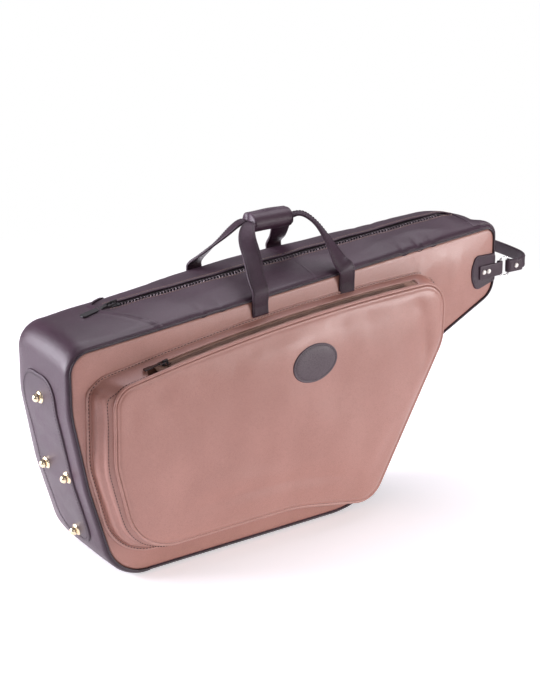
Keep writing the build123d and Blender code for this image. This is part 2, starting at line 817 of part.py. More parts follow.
def end_strap():
    bar_x = ring_x + ring_reach
    reach_x = body_length + end_strap_reach + 8
    turn = 3.5
    half_loop = [
        (bar_x + 15.5, -(abs(ring_y) + turn) + end_strap_thickness + 0.1),
        (bar_x + 9, -(abs(ring_y) + turn) + end_strap_thickness + 0.1),
        (bar_x + 4, ring_y + turn),
        (bar_x - turn, ring_y + turn),
        (bar_x - turn, ring_y - turn),
        (reach_x - 14, ring_y - turn),
        (reach_x, ring_y * 0.45),
    ]
    points = half_loop + [(x, -y) for x, y in reversed(half_loop)]
    radii = [3, 3, 3.4, 3.4, 22, 22]
    band = band_face(points, radii + radii[::-1], end_strap_thickness)
    save(Pos(0, 0, tab_z - end_strap_height / 2) * extrude(band, amount=end_strap_height), "end_strap")
    rivet_y = ring_y - turn - end_strap_thickness / 2 - ply_gap
    rivets = [
        Plane(origin=(bar_x + 11, side * -rivet_y, tab_z), z_dir=(0, side, 0))
        * Cylinder(rivet_diameter / 2, rivet_height, align=(Align.CENTER, Align.CENTER, Align.MIN))
        for side in (-1, 1)
    ]
    save(Compound(rivets), "end_strap_rivets")


# Inside

def divider():
    floor = leather + foam + lining + 2 * ply_gap + fit_gap
    height = divider_height
    middle = Pos(divider_x, divider_y, floor + tape_strip + height / 2)
    core = middle * Box(divider_length, board_thickness, height)
    pads = [
        middle * Pos(0, side * (board_thickness + divider_pad) / 2, 0) * Box(divider_length, divider_pad, height)
        for side in (-1, 1)
    ]
    strips = [
        Pos(divider_x + side * divider_length / 3, divider_y, floor + tape_strip / 2) * Box(70, 13, tape_strip)
        for side in (-1, 1)
    ]
    save(core, "divider_board")
    save(Compound(pads), "divider_pads")
    save(Compound(strips), "divider_hook_strips")


# Build everything

for side in (-1, 1):
    panel_layers(side)
    welt(side)
gusset_pieces()
gusset_padding()
lips()
main_zip()
main_slider()
foot_set()
pocket_walls()
pocket_zip()
pocket_panel()
slider_frame, slider_lift = pocket_slider()
handles()
neck_fittings()
end_strap()
divider()

for label, point in (
    ("front lip hinge", Vector(mouth_start, -half_width(mouth_start), seam_z(mouth_start) - leather + fit_gap)),
    ("front lip hinge end", Vector(mouth_end, -half_width(mouth_end), seam_z(mouth_end) - leather + fit_gap)),
    ("main slider", slider_plane.origin),
    ("main slide axis", zip_plane.x_dir),
    ("main slider travel", Vector(slider_travel, 0, 0)),
    ("main pull hinge", slider_plane.origin + slider_plane.z_dir * pull_lift),
    ("pocket slider frame", slider_frame.origin),
    ("pocket pull axis", slider_frame.y_dir),
    ("pocket pull hinge", slider_frame.origin + slider_frame.z_dir * slider_lift),
    ("handle root left", root_left),
    ("handle root right", root_right),
    ("ring bar", Vector(ring_x, ring_y, tab_z)),
    ("ring outer bar", Vector(ring_x + ring_reach, ring_y, tab_z)),
):
    print(label, [round(v, 3) for v in (point.X - (0 if "axis" in label or "travel" in label else origin_x), point.Y, point.Z)])
print("pocket zip centre", round(zip_centre.X - origin_x, 3), round(zip_centre.Y, 3), "radius", round(zip_radius, 2))
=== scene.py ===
import math

import bmesh
import bpy
import numpy as np
from mathutils import Matrix, Vector
from mathutils.bvhtree import BVHTree
from mathutils.geometry import delaunay_2d_cdt


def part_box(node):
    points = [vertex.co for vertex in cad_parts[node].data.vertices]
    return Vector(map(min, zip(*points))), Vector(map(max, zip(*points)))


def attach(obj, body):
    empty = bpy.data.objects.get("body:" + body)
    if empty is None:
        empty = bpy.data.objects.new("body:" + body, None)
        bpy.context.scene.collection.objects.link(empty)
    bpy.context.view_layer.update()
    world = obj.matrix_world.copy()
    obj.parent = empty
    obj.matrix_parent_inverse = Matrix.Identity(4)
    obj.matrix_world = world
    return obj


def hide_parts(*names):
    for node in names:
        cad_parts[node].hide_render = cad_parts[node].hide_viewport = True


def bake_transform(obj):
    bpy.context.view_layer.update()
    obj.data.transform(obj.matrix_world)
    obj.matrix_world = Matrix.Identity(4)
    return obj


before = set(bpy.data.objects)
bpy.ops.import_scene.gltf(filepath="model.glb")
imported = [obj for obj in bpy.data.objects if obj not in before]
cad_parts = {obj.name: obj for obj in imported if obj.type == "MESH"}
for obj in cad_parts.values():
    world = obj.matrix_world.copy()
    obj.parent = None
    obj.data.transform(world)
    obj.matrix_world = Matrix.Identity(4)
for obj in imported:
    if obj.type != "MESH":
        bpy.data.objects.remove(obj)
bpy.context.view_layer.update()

# The bag's driving sizes in metres: x from the bell end, z up from the floor, y to the rear
bag = {
    "toOrigin": 0.290,
    "length": 0.737,
    "bellWidth": 0.194,
    "neckWidth": 0.112,
    "corners": [  # x, z, radius, rise of the crown
        (0.066, 0.0, 0.070, 0.0),
        (0.514, 0.0, 0.123, 0.0),
        (0.628, 0.228, 0.050, 0.0),
        (0.737, 0.282, 0.035, 0.0),
        (0.737, 0.391, 0.022, 0.014),
        (0.0, 0.343, 0.034, 0.0093),
        (0.001, 0.255, 0.150, 0.0),
        (0.024, 0.142, 0.150, 0.0),
    ],
    "spacing": 0.0045,
}
taper = (bag["neckWidth"] - bag["bellWidth"]) / 2 / bag["length"]
faceNormal = np.array([taper, -1.0, 0.0]) / math.hypot(1, taper)  # of the front face


def halfWidth(x):
    return bag["bellWidth"] / 2 + taper * x


def seamHeight(x):
    low, high = bag["corners"][5][1], bag["corners"][4][1]
    return low + (high - low) * x / bag["length"]


def crestHeight(x):
    low, high = bag["corners"][5][3], bag["corners"][4][3]
    return seamHeight(x) + low + (high - low) * x / bag["length"]


def smooth(value, low=0.0, high=1.0):
    t = np.clip((np.asarray(value, float) - low) / (high - low), 0, 1)
    return t * t * (3 - 2 * t)


def rounded(away, width):
    # quarter-round edge of a sheet: 0 at its rim, 1 from a distance on
    t = np.clip(away / width, 0, 1)
    return np.sqrt(np.clip(1 - (1 - t) ** 2, 0, 1))


def ridge(value, at, width):
    return np.exp(-(((value - at) / width) ** 2))


def spots(x, y, z):
    # points from their coordinates, any of which may be a single number
    return np.stack(np.broadcast_arrays(x, y, z), axis=-1).astype(float)


def ringed(loop):
    # the loop with its first point again at the end
    return np.concatenate([loop, loop[:1]])


bothSides = ((-1, "front"), (1, "rear"))


# Outlines

def cornerArcs(corners):
    arcs = []
    for i, corner in enumerate(corners):
        here = np.array(corner[:2])
        back = here - np.array(corners[i - 1][:2])
        ahead = np.array(corners[(i + 1) % len(corners)][:2]) - here
        back /= np.linalg.norm(back)
        ahead /= np.linalg.norm(ahead)
        turn = math.atan2(back[0] * ahead[1] - back[1] * ahead[0], back @ ahead)
        radius = corner[2]
        reach = radius * math.tan(abs(turn) / 2)
        start = here - back * reach
        inward = np.array([-back[1], back[0]]) * math.copysign(1, turn)
        arcs.append((start, here + ahead * reach, start + inward * radius, turn, radius))
    return arcs


def roundedLoop(corners, spacing=None, counts=None):
    # points round the outline, and how many lie on each arc and each straight run
    arcs = cornerArcs(corners)
    points, used = [], []
    for i, (start, end, centre, turn, radius) in enumerate(arcs):
        nextStart = arcs[(i + 1) % len(arcs)][0]
        if counts:
            onArc, onRun = counts[2 * i], counts[2 * i + 1]
        else:
            onArc = max(2, math.ceil(abs(turn) * radius / spacing))
            onRun = max(1, math.ceil(np.linalg.norm(nextStart - end) / spacing))
        spoke = start - centre
        for k in range(onArc):
            c, s = math.cos(turn * k / onArc), math.sin(turn * k / onArc)
            points.append(centre + np.array([spoke[0] * c - spoke[1] * s, spoke[0] * s + spoke[1] * c]))
        for k in range(onRun):
            points.append(end + (nextStart - end) * k / onRun)
        used += [onArc, onRun]
    return np.array(points), used


def outwardNormals(loop):
    along = np.roll(loop, -1, axis=0) - np.roll(loop, 1, axis=0)
    along /= np.linalg.norm(along, axis=1)[:, None]
    return np.stack([along[:, 1], -along[:, 0]], axis=1)


def insideLoop(points, loop):
    inside = np.zeros(len(points), bool)
    for (ax, az), (bx, bz) in zip(loop, np.roll(loop, -1, axis=0)):
        crosses = (az > points[:, 1]) != (bz > points[:, 1])
        if abs(bz - az) > 1e-12:
            at = ax + (points[:, 1] - az) * (bx - ax) / (bz - az)
            inside ^= crosses & (points[:, 0] < at)
    return inside


def distanceToLoop(points, loop):
    start, end = loop, np.roll(loop, -1, axis=0)
    run = end - start
    best = np.full(len(points), 1e9)
    for a, d in zip(start, run):
        t = np.clip((points - a) @ d / (d @ d), 0, 1)
        best = np.minimum(best, np.linalg.norm(points - a - t[:, None] * d, axis=1))
    return best


def filledSheet(loop, insets, spacing):
    # a flat sheet inside a loop: rings along the edge, an even grid in the middle
    normals = outwardNormals(loop)
    rings = [loop - normals * inset for inset in insets]
    low, high = loop.min(0), loop.max(0)
    gx, gz = np.meshgrid(np.arange(low[0], high[0], spacing), np.arange(low[1], high[1], spacing))
    grid = np.stack([gx.ravel(), gz.ravel()], axis=1)
    grid = grid[insideLoop(grid, rings[-1])]
    grid = grid[distanceToLoop(grid, rings[-1]) > spacing * 0.55]
    points = np.concatenate([*rings, grid])
    count = len(loop)
    border = [(i, (i + 1) % count) for i in range(count)]
    made = delaunay_2d_cdt([Vector(p) for p in points], border, [], 1, 1e-7)
    return np.array([tuple(v) for v in made[0]]), [tuple(f) for f in made[2]]


def softWaves(x, z, size, seed):
    # gentle uneven swell of the leather, between about -1 and 1
    total = np.zeros_like(np.asarray(x, float))
    for k in range(5):
        angle = seed * 1.7 + k * 2.4
        pitch = size * (0.7 + 0.28 * k)
        phase = seed * 3.1 + k * 1.9
        total += np.sin((x * math.cos(angle) + z * math.sin(angle)) * 2 * math.pi / pitch + phase)
    return total / 3.2


def creases(x, z, folds):
    # folds: ends of each one, its half width and its height
    total = np.zeros_like(np.asarray(x, float))
    for x0, z0, x1, z1, width, height in folds:
        run = np.array([x1 - x0, z1 - z0])
        length = np.linalg.norm(run)
        run /= length
        along = ((x - x0) * run[0] + (z - z0) * run[1]) / length * 2 - 1
        bow = (1 - np.clip(along, -1, 1) ** 2) * length * 0.06
        across = (x - x0) * -run[1] + (z - z0) * run[0] - bow
        fade = np.exp(-np.abs(along) ** 3 * 1.6)
        total += height * np.exp(-((across / width) ** 2)) * fade
    return total


# Mesh tools

def addMesh(name, points, faces, material=None):
    mesh = bpy.data.meshes.new(name)
    mesh.from_pydata([tuple(p) for p in points], [], faces)
    mesh.update()
    obj = bpy.data.objects.new(name, mesh)
    bpy.context.scene.collection.objects.link(obj)
    allSmooth(mesh)
    if material:
        mesh.materials.append(material)
    return obj


def allSmooth(mesh):
    mesh.polygons.foreach_set("use_smooth", [True] * len(mesh.polygons))


def worked(obj, *jobs):
    # each job changes the mesh of the piece
    work = bmesh.new()
    work.from_mesh(obj.data)
    for job in jobs:
        job(work)
    work.to_mesh(obj.data)
    work.free()
    return obj


def dropLoose(work):
    bmesh.ops.delete(work, geom=[v for v in work.verts if not v.link_faces], context="VERTS")


def turnOut(work):
    bmesh.ops.recalc_face_normals(work, faces=work.faces[:])


def mergeDoubles(work):
    bmesh.ops.remove_doubles(work, verts=work.verts[:], dist=1e-6)


def fillHoles(work):
    bmesh.ops.holes_fill(work, edges=[e for e in work.edges if e.is_boundary], sides=0)


def gridFaces(rows, columns, closeRows=False, closeColumns=False, keep=None):
    # quads of a grid of points; keep says which of them stay
    faces = []
    for i in range(rows if closeRows else rows - 1):
        for j in range(columns if closeColumns else columns - 1):
            if keep is None or keep[i, j]:
                i2, j2 = (i + 1) % rows, (j + 1) % columns
                faces.append((i * columns + j, i2 * columns + j, i2 * columns + j2, i * columns + j2))
    return faces


def gridMesh(name, points, material=None, closeRows=False, closeColumns=False, flip=False):
    # points is rows x columns x 3
    faces = gridFaces(*points.shape[:2], closeRows, closeColumns)
    if flip:
        faces = [face[::-1] for face in faces]
    return worked(addMesh(name, points.reshape(-1, 3), faces, material), dropLoose)


def softened(obj, width, segments, angle):
    edge = obj.modifiers.new("edge", "BEVEL")
    edge.width = width
    edge.segments = segments
    edge.angle_limit = math.radians(angle)
    return obj


def applied(obj):
    # the piece with its modifiers made plain mesh
    graph = bpy.context.evaluated_depsgraph_get()
    mesh = bpy.data.meshes.new_from_object(obj.evaluated_get(graph))
    obj.modifiers.clear()
    obj.data = mesh
    return obj


def smoothPath(points, count):
    # Catmull-Rom curve through the points, evenly spaced
    p = np.array(points, float)
    p = np.concatenate([2 * p[:1] - p[1:2], p, 2 * p[-1:] - p[-2:-1]])
    fine = []
    for a, b, c, d in zip(p, p[1:], p[2:], p[3:]):
        for t in np.linspace(0, 1, 24, endpoint=False):
            fine.append(
                0.5 * (2 * b + (c - a) * t + (2 * a - 5 * b + 4 * c - d) * t**2
                       + (3 * b - a - 3 * c + d) * t**3)
            )
    fine.append(p[-2])
    return evenPath(np.array(fine), count)


def evenPath(points, count):
    steps = np.linalg.norm(np.diff(points[:, :3], axis=0), axis=1)
    travel = np.concatenate([[0], np.cumsum(steps)])
    at = np.linspace(0, travel[-1], count)
    return np.stack([np.interp(at, travel, points[:, k]) for k in range(points.shape[1])], axis=1)


def pathLength(points):
    return float(np.linalg.norm(np.diff(points[:, :3], axis=0), axis=1).sum())


def tube(name, path, radius, material, closed=False, sides=12):
    p = np.array(path, float)
    if closed:
        along = np.roll(p, -1, axis=0) - np.roll(p, 1, axis=0)
    else:
        along = np.gradient(p, axis=0)
    along /= np.linalg.norm(along, axis=1)[:, None]
    normal = np.zeros_like(p)
    seed = np.cross(along[0], [0.31, 0.22, 0.92])
    for i, d in enumerate(along):
        seed = seed - d * (seed @ d)
        seed /= np.linalg.norm(seed)
        normal[i] = seed
    side = np.cross(along, normal)
    turns = np.linspace(0, 2 * math.pi, sides, endpoint=False)
    radii = np.broadcast_to(np.asarray(radius, float), (len(p),))
    ring = p[:, None, :] + radii[:, None, None] * (
        normal[:, None, :] * np.cos(turns)[None, :, None] + side[:, None, :] * np.sin(turns)[None, :, None]
    )
    obj = gridMesh(name, ring, material, closeRows=closed, closeColumns=True, flip=True)
    if not closed:
        capEnds(obj)
    return obj


def capEnds(obj):
    allSmooth(worked(obj, fillHoles, turnOut).data)


def ribbon(name, path, facing, width, thickness, material, crown=0.0004):
    # flat strap along a path; facing is the direction of its outer face at each point, width one or many
    p = np.array(path, float)
    along = np.gradient(p, axis=0)
    along /= np.linalg.norm(along, axis=1)[:, None]
    out = np.array(facing, float)
    out -= along * (out * along).sum(1)[:, None]
    out /= np.linalg.norm(out, axis=1)[:, None]
    across = np.cross(along, out)
    widest = float(np.max(width))
    section = strapSection(widest, thickness, crown)
    share = np.broadcast_to(np.asarray(width, float) / widest, (len(p),))[:, None, None]
    rings = p[:, None, :] + across[:, None, :] * section[None, :, :1] * share
    rings = rings + out[:, None, :] * section[None, :, 1:]
    obj = gridMesh(name, rings, material, closeColumns=True)
    capEnds(obj)
    return obj, across, out


def strapSection(width, thickness, crown):
    half, edge = width / 2, thickness * 0.32
    top = []
    for a in np.linspace(0, 90, 4):
        top.append((half - edge + edge * math.sin(math.radians(90 - a)),
                    thickness / 2 - edge + edge * math.sin(math.radians(a))))
    for s in (0.8, 0.62, 0.35, 0.0, -0.35, -0.62, -0.8):
        top.append((s * half, thickness / 2 + crown * (1 - s * s)))
    for a in np.linspace(90, 0, 4):
        top.append((-half + edge - edge * math.sin(math.radians(90 - a)),
                    thickness / 2 - edge + edge * math.sin(math.radians(a))))
    low = [(-x, -z) for x, z in top]
    return np.array(top + low)


def lathe(name, profile, material, sides=32):
    # turned piece about its own z axis; profile is radius, height
    radius, height = np.array(profile, float).T[:, :, None]
    turns = np.linspace(0, 2 * math.pi, sides, endpoint=False)
    rings = spots(radius * np.cos(turns), radius * np.sin(turns), height)
    return worked(gridMesh(name, rings, material, closeColumns=True), mergeDoubles, turnOut)


def placed(obj, matrix):
    obj.data.transform(matrix)
    return obj


def joined(name, objs):
    # one mesh of several, in plain data
    work = bmesh.new()
    materials = []
    for obj in objs:
        start = len(work.faces)
        work.from_mesh(obj.data)
        work.faces.ensure_lookup_table()
        for material in obj.data.materials:
            if material not in materials:
                materials.append(material)
        slot = materials.index(obj.data.materials[0]) if obj.data.materials else 0
        for face in work.faces[start:]:
            face.material_index = slot
    mesh = bpy.data.meshes.new(name)
    work.to_mesh(mesh)
    work.free()
    for material in materials:
        mesh.materials.append(material)
    allSmooth(mesh)
    for obj in objs:
        bpy.data.objects.remove(obj)
    made = bpy.data.objects.new(name, mesh)
    bpy.context.scene.collection.objects.link(made)
    return made


def surfaceOf(obj):
    graph = bpy.context.evaluated_depsgraph_get()
    return BVHTree.FromObject(obj, graph)


def dropped(points, surface, direction, reach=0.06):
    # the points moved along a direction onto a surface, with its normals there
    # a point that misses is left out
    onto, normals = [], []
    back = Vector(direction).normalized()
    for p in points:
        hit, normal, _, _ = surface.ray_cast(Vector(p) - back * reach, back, reach * 3)
        if hit is None:
            continue
        if normal.dot(back) > 0:
            normal = -normal
        onto.append(tuple(hit))
        normals.append(tuple(normal))
    return np.array(onto), np.array(normals)


stitch = {"length": 0.0031, "pitch": 0.0046, "radius": 0.00052, "sides": 6}


def stitches(name, lines, material, scale=1.0):
    # rows of short sunk threads; each line is a path and the surface normals along it
    shape = []
    for s in (-1.0, -0.82, -0.4, 0.4, 0.82, 1.0):
        swell = math.sqrt(max(0.0, 1 - abs(s) ** 3.2))
        shape.append((s * stitch["length"] / 2, max(swell, 0.12) * stitch["radius"], -0.35 * abs(s) ** 2))
    points, faces = [], []
    sides = stitch["sides"]
    for path, normals in lines:
        length = pathLength(path)
        count = max(2, int(length / (stitch["pitch"] * scale)))
        both = evenPath(np.concatenate([path, normals], axis=1), 2 * count + 1)
        for k in range(count):
            centre, up = both[2 * k + 1, :3], both[2 * k + 1, 3:]
            along = both[2 * k + 2, :3] - both[2 * k, :3]
            along /= np.linalg.norm(along)
            up = up - along * (up @ along)
            up /= np.linalg.norm(up)
            side = np.cross(along, up)
            first = len(points)
            for reach, radius, sink in shape:
                ring = centre + along * reach * scale + up * stitch["radius"] * scale * (0.45 + sink)
                for q in range(sides):
                    a = 2 * math.pi * q / sides
                    points.append(ring + (side * math.cos(a) + up * math.sin(a)) * radius * scale)
            for r in range(len(shape) - 1):
                for q in range(sides):
                    a, b = first + r * sides + q, first + r * sides + (q + 1) % sides
                    faces.append((a, a + sides, b + sides, b))
            faces.append(tuple(first + q for q in range(sides)))
            last = first + (len(shape) - 1) * sides
            faces.append(tuple(last + q for q in reversed(range(sides))))
    return addMesh(name, points, faces, material)


# How the soft bag has settled: its rear leans in at the bell end, and its rear top edge sags
settle = {
    "leanIn": 0.037, "leanReach": 0.345, "sag": 0.013, "sagReach": 0.40, "corner": 0.012,
    "cornerReach": 0.060, "neckSag": 0.019, "neckFrom": 0.668,
}


def bellEdge(z):
    return np.interp(z, (0.0, 0.142, 0.255, 0.343), (0.066, 0.024, 0.001, 0.0))


def toFrame(points):
    # bag coordinates to the object's own frame, with the bag settled
    moved = np.array(points, float)
    x, y, z = moved[..., 0].copy(), moved[..., 1].copy(), moved[..., 2].copy()
    wide = halfWidth(x)
    share = np.clip(y / wide, 0, 1.1)
    below = 1 - smooth(z - crestHeight(x), 0.004, 0.050)
    bell = 1 - smooth(x, -0.06, settle["leanReach"])
    high = smooth(z, 0.10, seamHeight(x))
    moved[..., 1] -= settle["leanIn"] * bell * share**1.35 * below
    sagging = settle["sag"] * (1 - smooth(x, 0.02, settle["sagReach"])) * share**2 * high
    tip = smooth(x, settle["neckFrom"], bag["length"]) * smooth(y / wide, -1.0, -0.25)
    moved[..., 2] -= (sagging + settle["neckSag"] * tip * smooth(z, 0.33, 0.39)) * below
    near = 1 - smooth(x - bellEdge(z), 0.0, settle["cornerReach"])
    moved[..., 0] += settle["corner"] * near * share**3 * (0.5 + 0.7 * high) * below
    moved[..., 0] -= bag["toOrigin"]
    moved[..., 2] = np.maximum(moved[..., 2], 0.0)
    return moved


# Materials

class Channel:
    # an output of a shader node that can be added, multiplied and so on
    def __init__(self, shader, socket):
        self.shader = shader
        self.socket = socket

    def maths(self, operation, *values):
        return self.shader.add("Math", {"operation": operation}, dict(enumerate(values)))

    def __add__(self, other):
        return self.maths("ADD", self, other)

    def __radd__(self, other):
        return self.maths("ADD", other, self)

    def __sub__(self, other):
        return self.maths("SUBTRACT", self, other)

    def __rsub__(self, other):
        return self.maths("SUBTRACT", other, self)

    def __mul__(self, other):
        return self.maths("MULTIPLY", self, other)

    def __rmul__(self, other):
        return self.maths("MULTIPLY", other, self)

    def between(self, low, high, toLow=0.0, toHigh=1.0):
        inputs = {"Value": self, "From Min": low, "From Max": high, "To Min": toLow, "To Max": toHigh}
        return self.shader.add("MapRange", {"interpolation_type": "SMOOTHSTEP"}, inputs)


class Shader:
    def __init__(self, name, constants):
        self.material = bpy.data.materials.new(name)
        self.material.use_nodes = True
        self.nodes = self.material.node_tree.nodes
        self.surface = self.nodes["Principled BSDF"]
        for key, value in constants.items():
            self.surface.inputs[key].default_value = value

    def add(self, kind, settings=None, inputs=None, output=0):
        node = self.nodes.new("ShaderNode" + kind)
        for key, value in (settings or {}).items():
            setattr(node, key, value)
        for key, value in (inputs or {}).items():
            self.feed(node.inputs[key], value)
        return Channel(self, node.outputs[output])

    def feed(self, socket, value):
        if isinstance(value, Channel):
            self.material.node_tree.links.new(value.socket, socket)
        else:
            socket.default_value = value

    def place(self, stretch=None):
        spot = self.add("TexCoord", output="Object")
        if stretch is None:
            return spot
        return self.add("VectorMath", {"operation": "MULTIPLY"}, {0: spot, 1: stretch})

    def noise(self, place, scale, detail=3.0, rough=0.55):
        inputs = {"Vector": place, "Scale": scale, "Detail": detail, "Roughness": rough}
        return self.add("TexNoise", {}, inputs)

    def cells(self, place, scale, feature="DISTANCE_TO_EDGE"):
        return self.add("TexVoronoi", {"feature": feature}, {"Vector": place, "Scale": scale})

    def blend(self, share, first, second):
        return self.add("Mix", {"data_type": "RGBA"}, {0: share, 6: first, 7: second}, output=2)

    def raised(self, height, distance, strength=1.0):
        inputs = {"Strength": strength, "Distance": distance, "Height": height}
        self.feed(self.surface.inputs["Normal"], self.add("Bump", {}, inputs))

    def colour(self, value):
        self.feed(self.surface.inputs["Base Color"], value)

    def roughness(self, value):
        self.feed(self.surface.inputs["Roughness"], value)

    def pointed(self):
        return self.add("NewGeometry", output="Pointiness")

    def near(self, point, radius):
        # 1 at a point, falling softly to 0
        away = self.add("VectorMath", {"operation": "DISTANCE"}, {0: self.place(), 1: point}, output="Value")
        return away.between(0.0, radius, 1.0, 0.0)


def rgb(red, green, blue):
    return (red, green, blue, 1.0)


def leather(name, look):
    made = Shader(name, {
        "Specular IOR Level": look["gloss"], "Sheen Weight": look["sheen"], "Sheen Roughness": 0.45,
        "Sheen Tint": look["light"], "Coat Weight": look["coat"], "Coat Roughness": 0.34,
    })
    place = made.place()
    broad = made.noise(place, 5.5, 2.0)
    middle = made.noise(place, 26.0, 4.0, 0.6)
    fine = made.noise(place, 190.0, 3.0, 0.6)
    tone = (broad * 0.5 + middle * 0.32 + fine * 0.18).between(0.38, 0.62)
    colour = made.blend(tone * look["mottle"] + (1 - look["mottle"]), look["shade"], look["base"])
    worn = made.pointed().between(0.515, 0.60) * middle.between(0.35, 0.65, 0.35, 1.0)
    colour = made.blend(worn * look["wear"], colour, look["light"])
    pores = made.cells(place, look["grain"]).between(0.0, 0.22)
    colour = made.blend(pores.between(0.0, 1.0, look["poreShade"], 0.0), colour, look["deep"])
    made.colour(colour)
    made.roughness(look["rough"] + (middle - 0.5) * 0.22 + (fine - 0.5) * 0.16 + worn * 0.06)
    wrinkles = made.noise(made.place((1.0, 1.0, 0.45)), 95.0, 5.0, 0.62)
    height = pores * 0.34 + wrinkles * 0.75 + made.noise(place, 1400.0, 2.0) * 0.16
    made.raised(height, look["bump"], 0.85)
    return made.material


def woven(name, light, dark, pitch, rough=0.8):
    made = Shader(name, {"Specular IOR Level": 0.25, "Sheen Weight": 0.25})
    place = made.place()
    along = {"Vector": place, "Scale": 1 / pitch, "Distortion": 0.6}
    ribs = made.add("TexWave", {"bands_direction": "X"}, along)
    cross = made.add("TexWave", {"bands_direction": "DIAGONAL"}, {"Vector": place, "Scale": 1.7 / pitch})
    weave = ribs * 0.6 + cross * 0.4
    made.colour(made.blend(weave * made.noise(place, 60.0).between(0.3, 0.7, 0.6, 1.0), dark, light))
    made.roughness(rough + (weave - 0.5) * 0.12)
    made.raised(weave, 0.0004)
    return made.material


def metal(name, base, dull, rough, tint=1.0):
    made = Shader(name, {"Metallic": tint, "Specular IOR Level": 0.5})
    place = made.place()
    cloud = made.noise(place, 70.0, 4.0)
    scratches = made.noise(made.place((1.0, 6.0, 1.0)), 420.0, 3.0, 0.7).between(0.52, 0.75)
    made.colour(made.blend(cloud.between(0.42, 0.7) * 0.6, base, dull))
    made.roughness(rough + scratches * 0.14 + (cloud - 0.5) * 0.12)
    made.raised(scratches, 0.00008, 0.5)
    return made.material


def enamel(name, base, rough):
    made = Shader(name, {"Specular IOR Level": 0.6, "Coat Weight": 0.5, "Coat Roughness": 0.12})
    cloud = made.noise(made.place(), 90.0, 3.0)
    worn = made.pointed().between(0.58, 0.70)
    made.colour(made.blend(worn * 0.35, base, rgb(0.12, 0.11, 0.12)))
    made.roughness(rough + (cloud - 0.5) * 0.15)
    made.raised(made.noise(made.place(), 900.0), 0.00006, 0.6)
    return made.material


def plush(name, base, dark):
    made = Shader(name, {"Specular IOR Level": 0.1, "Sheen Weight": 0.8, "Sheen Roughness": 0.5})
    place = made.place()
    pile = made.noise(place, 900.0, 3.0, 0.7)
    lay = made.noise(place, 18.0, 2.0)
    made.colour(made.blend(pile.between(0.3, 0.7) * lay.between(0.3, 0.7, 0.5, 1.0), dark, base))
    made.roughness(0.9 + (lay - 0.5) * 0.1)
    made.raised(pile, 0.0008)
    return made.material


def matt(name, base, dark, scale, bump, rough=0.85):
    made = Shader(name, {"Specular IOR Level": 0.2})
    place = made.place()
    holes = made.cells(place, scale, "F1")
    cloud = made.noise(place, 40.0, 3.0)
    made.colour(made.blend(holes.between(0.1, 0.6) * 0.7 + cloud.between(0.4, 0.6) * 0.3, dark, base))
    made.roughness(rough + (cloud - 0.5) * 0.1)
    made.raised(holes, bump)
    return made.material


def threadLook(name, base, dark):
    made = Shader(name, {"Specular IOR Level": 0.3, "Sheen Weight": 0.2})
    place = made.place()
    twist = made.add("TexWave", {"bands_direction": "DIAGONAL"}, {"Vector": place, "Scale": 1400.0})
    made.colour(made.blend(twist * made.noise(place, 300.0), dark, base))
    made.roughness(0.62 + (twist - 0.5) * 0.1)
    made.raised(twist, 0.0001)
    return made.material


roseLook = {
    "base": rgb(0.440, 0.210, 0.168), "shade": rgb(0.335, 0.148, 0.114), "light": rgb(0.74, 0.52, 0.46),
    "deep": rgb(0.21, 0.085, 0.066), "rough": 0.36, "gloss": 0.58, "sheen": 0.0, "coat": 0.30,
    "grain": 620.0, "poreShade": 0.26, "wear": 0.4, "bump": 0.00026, "mottle": 0.45,
}
darkLook = {
    "base": rgb(0.062, 0.027, 0.047), "shade": rgb(0.036, 0.014, 0.027), "light": rgb(0.24, 0.17, 0.23),
    "deep": rgb(0.012, 0.005, 0.010), "rough": 0.41, "gloss": 0.42, "sheen": 0.0, "coat": 0.12,
    "grain": 560.0, "poreShade": 0.4, "wear": 0.35, "bump": 0.00036, "mottle": 0.8,
}
trimLook = dict(
    darkLook, base=rgb(0.052, 0.022, 0.040), shade=rgb(0.028, 0.011, 0.021), rough=0.40, grain=700.0,
)
weltLook = dict(darkLook, base=rgb(0.022, 0.009, 0.014), shade=rgb(0.012, 0.005, 0.008), rough=0.34)
patchLook = dict(
    darkLook, base=rgb(0.105, 0.075, 0.090), shade=rgb(0.080, 0.056, 0.068), rough=0.50, mottle=0.4,
)


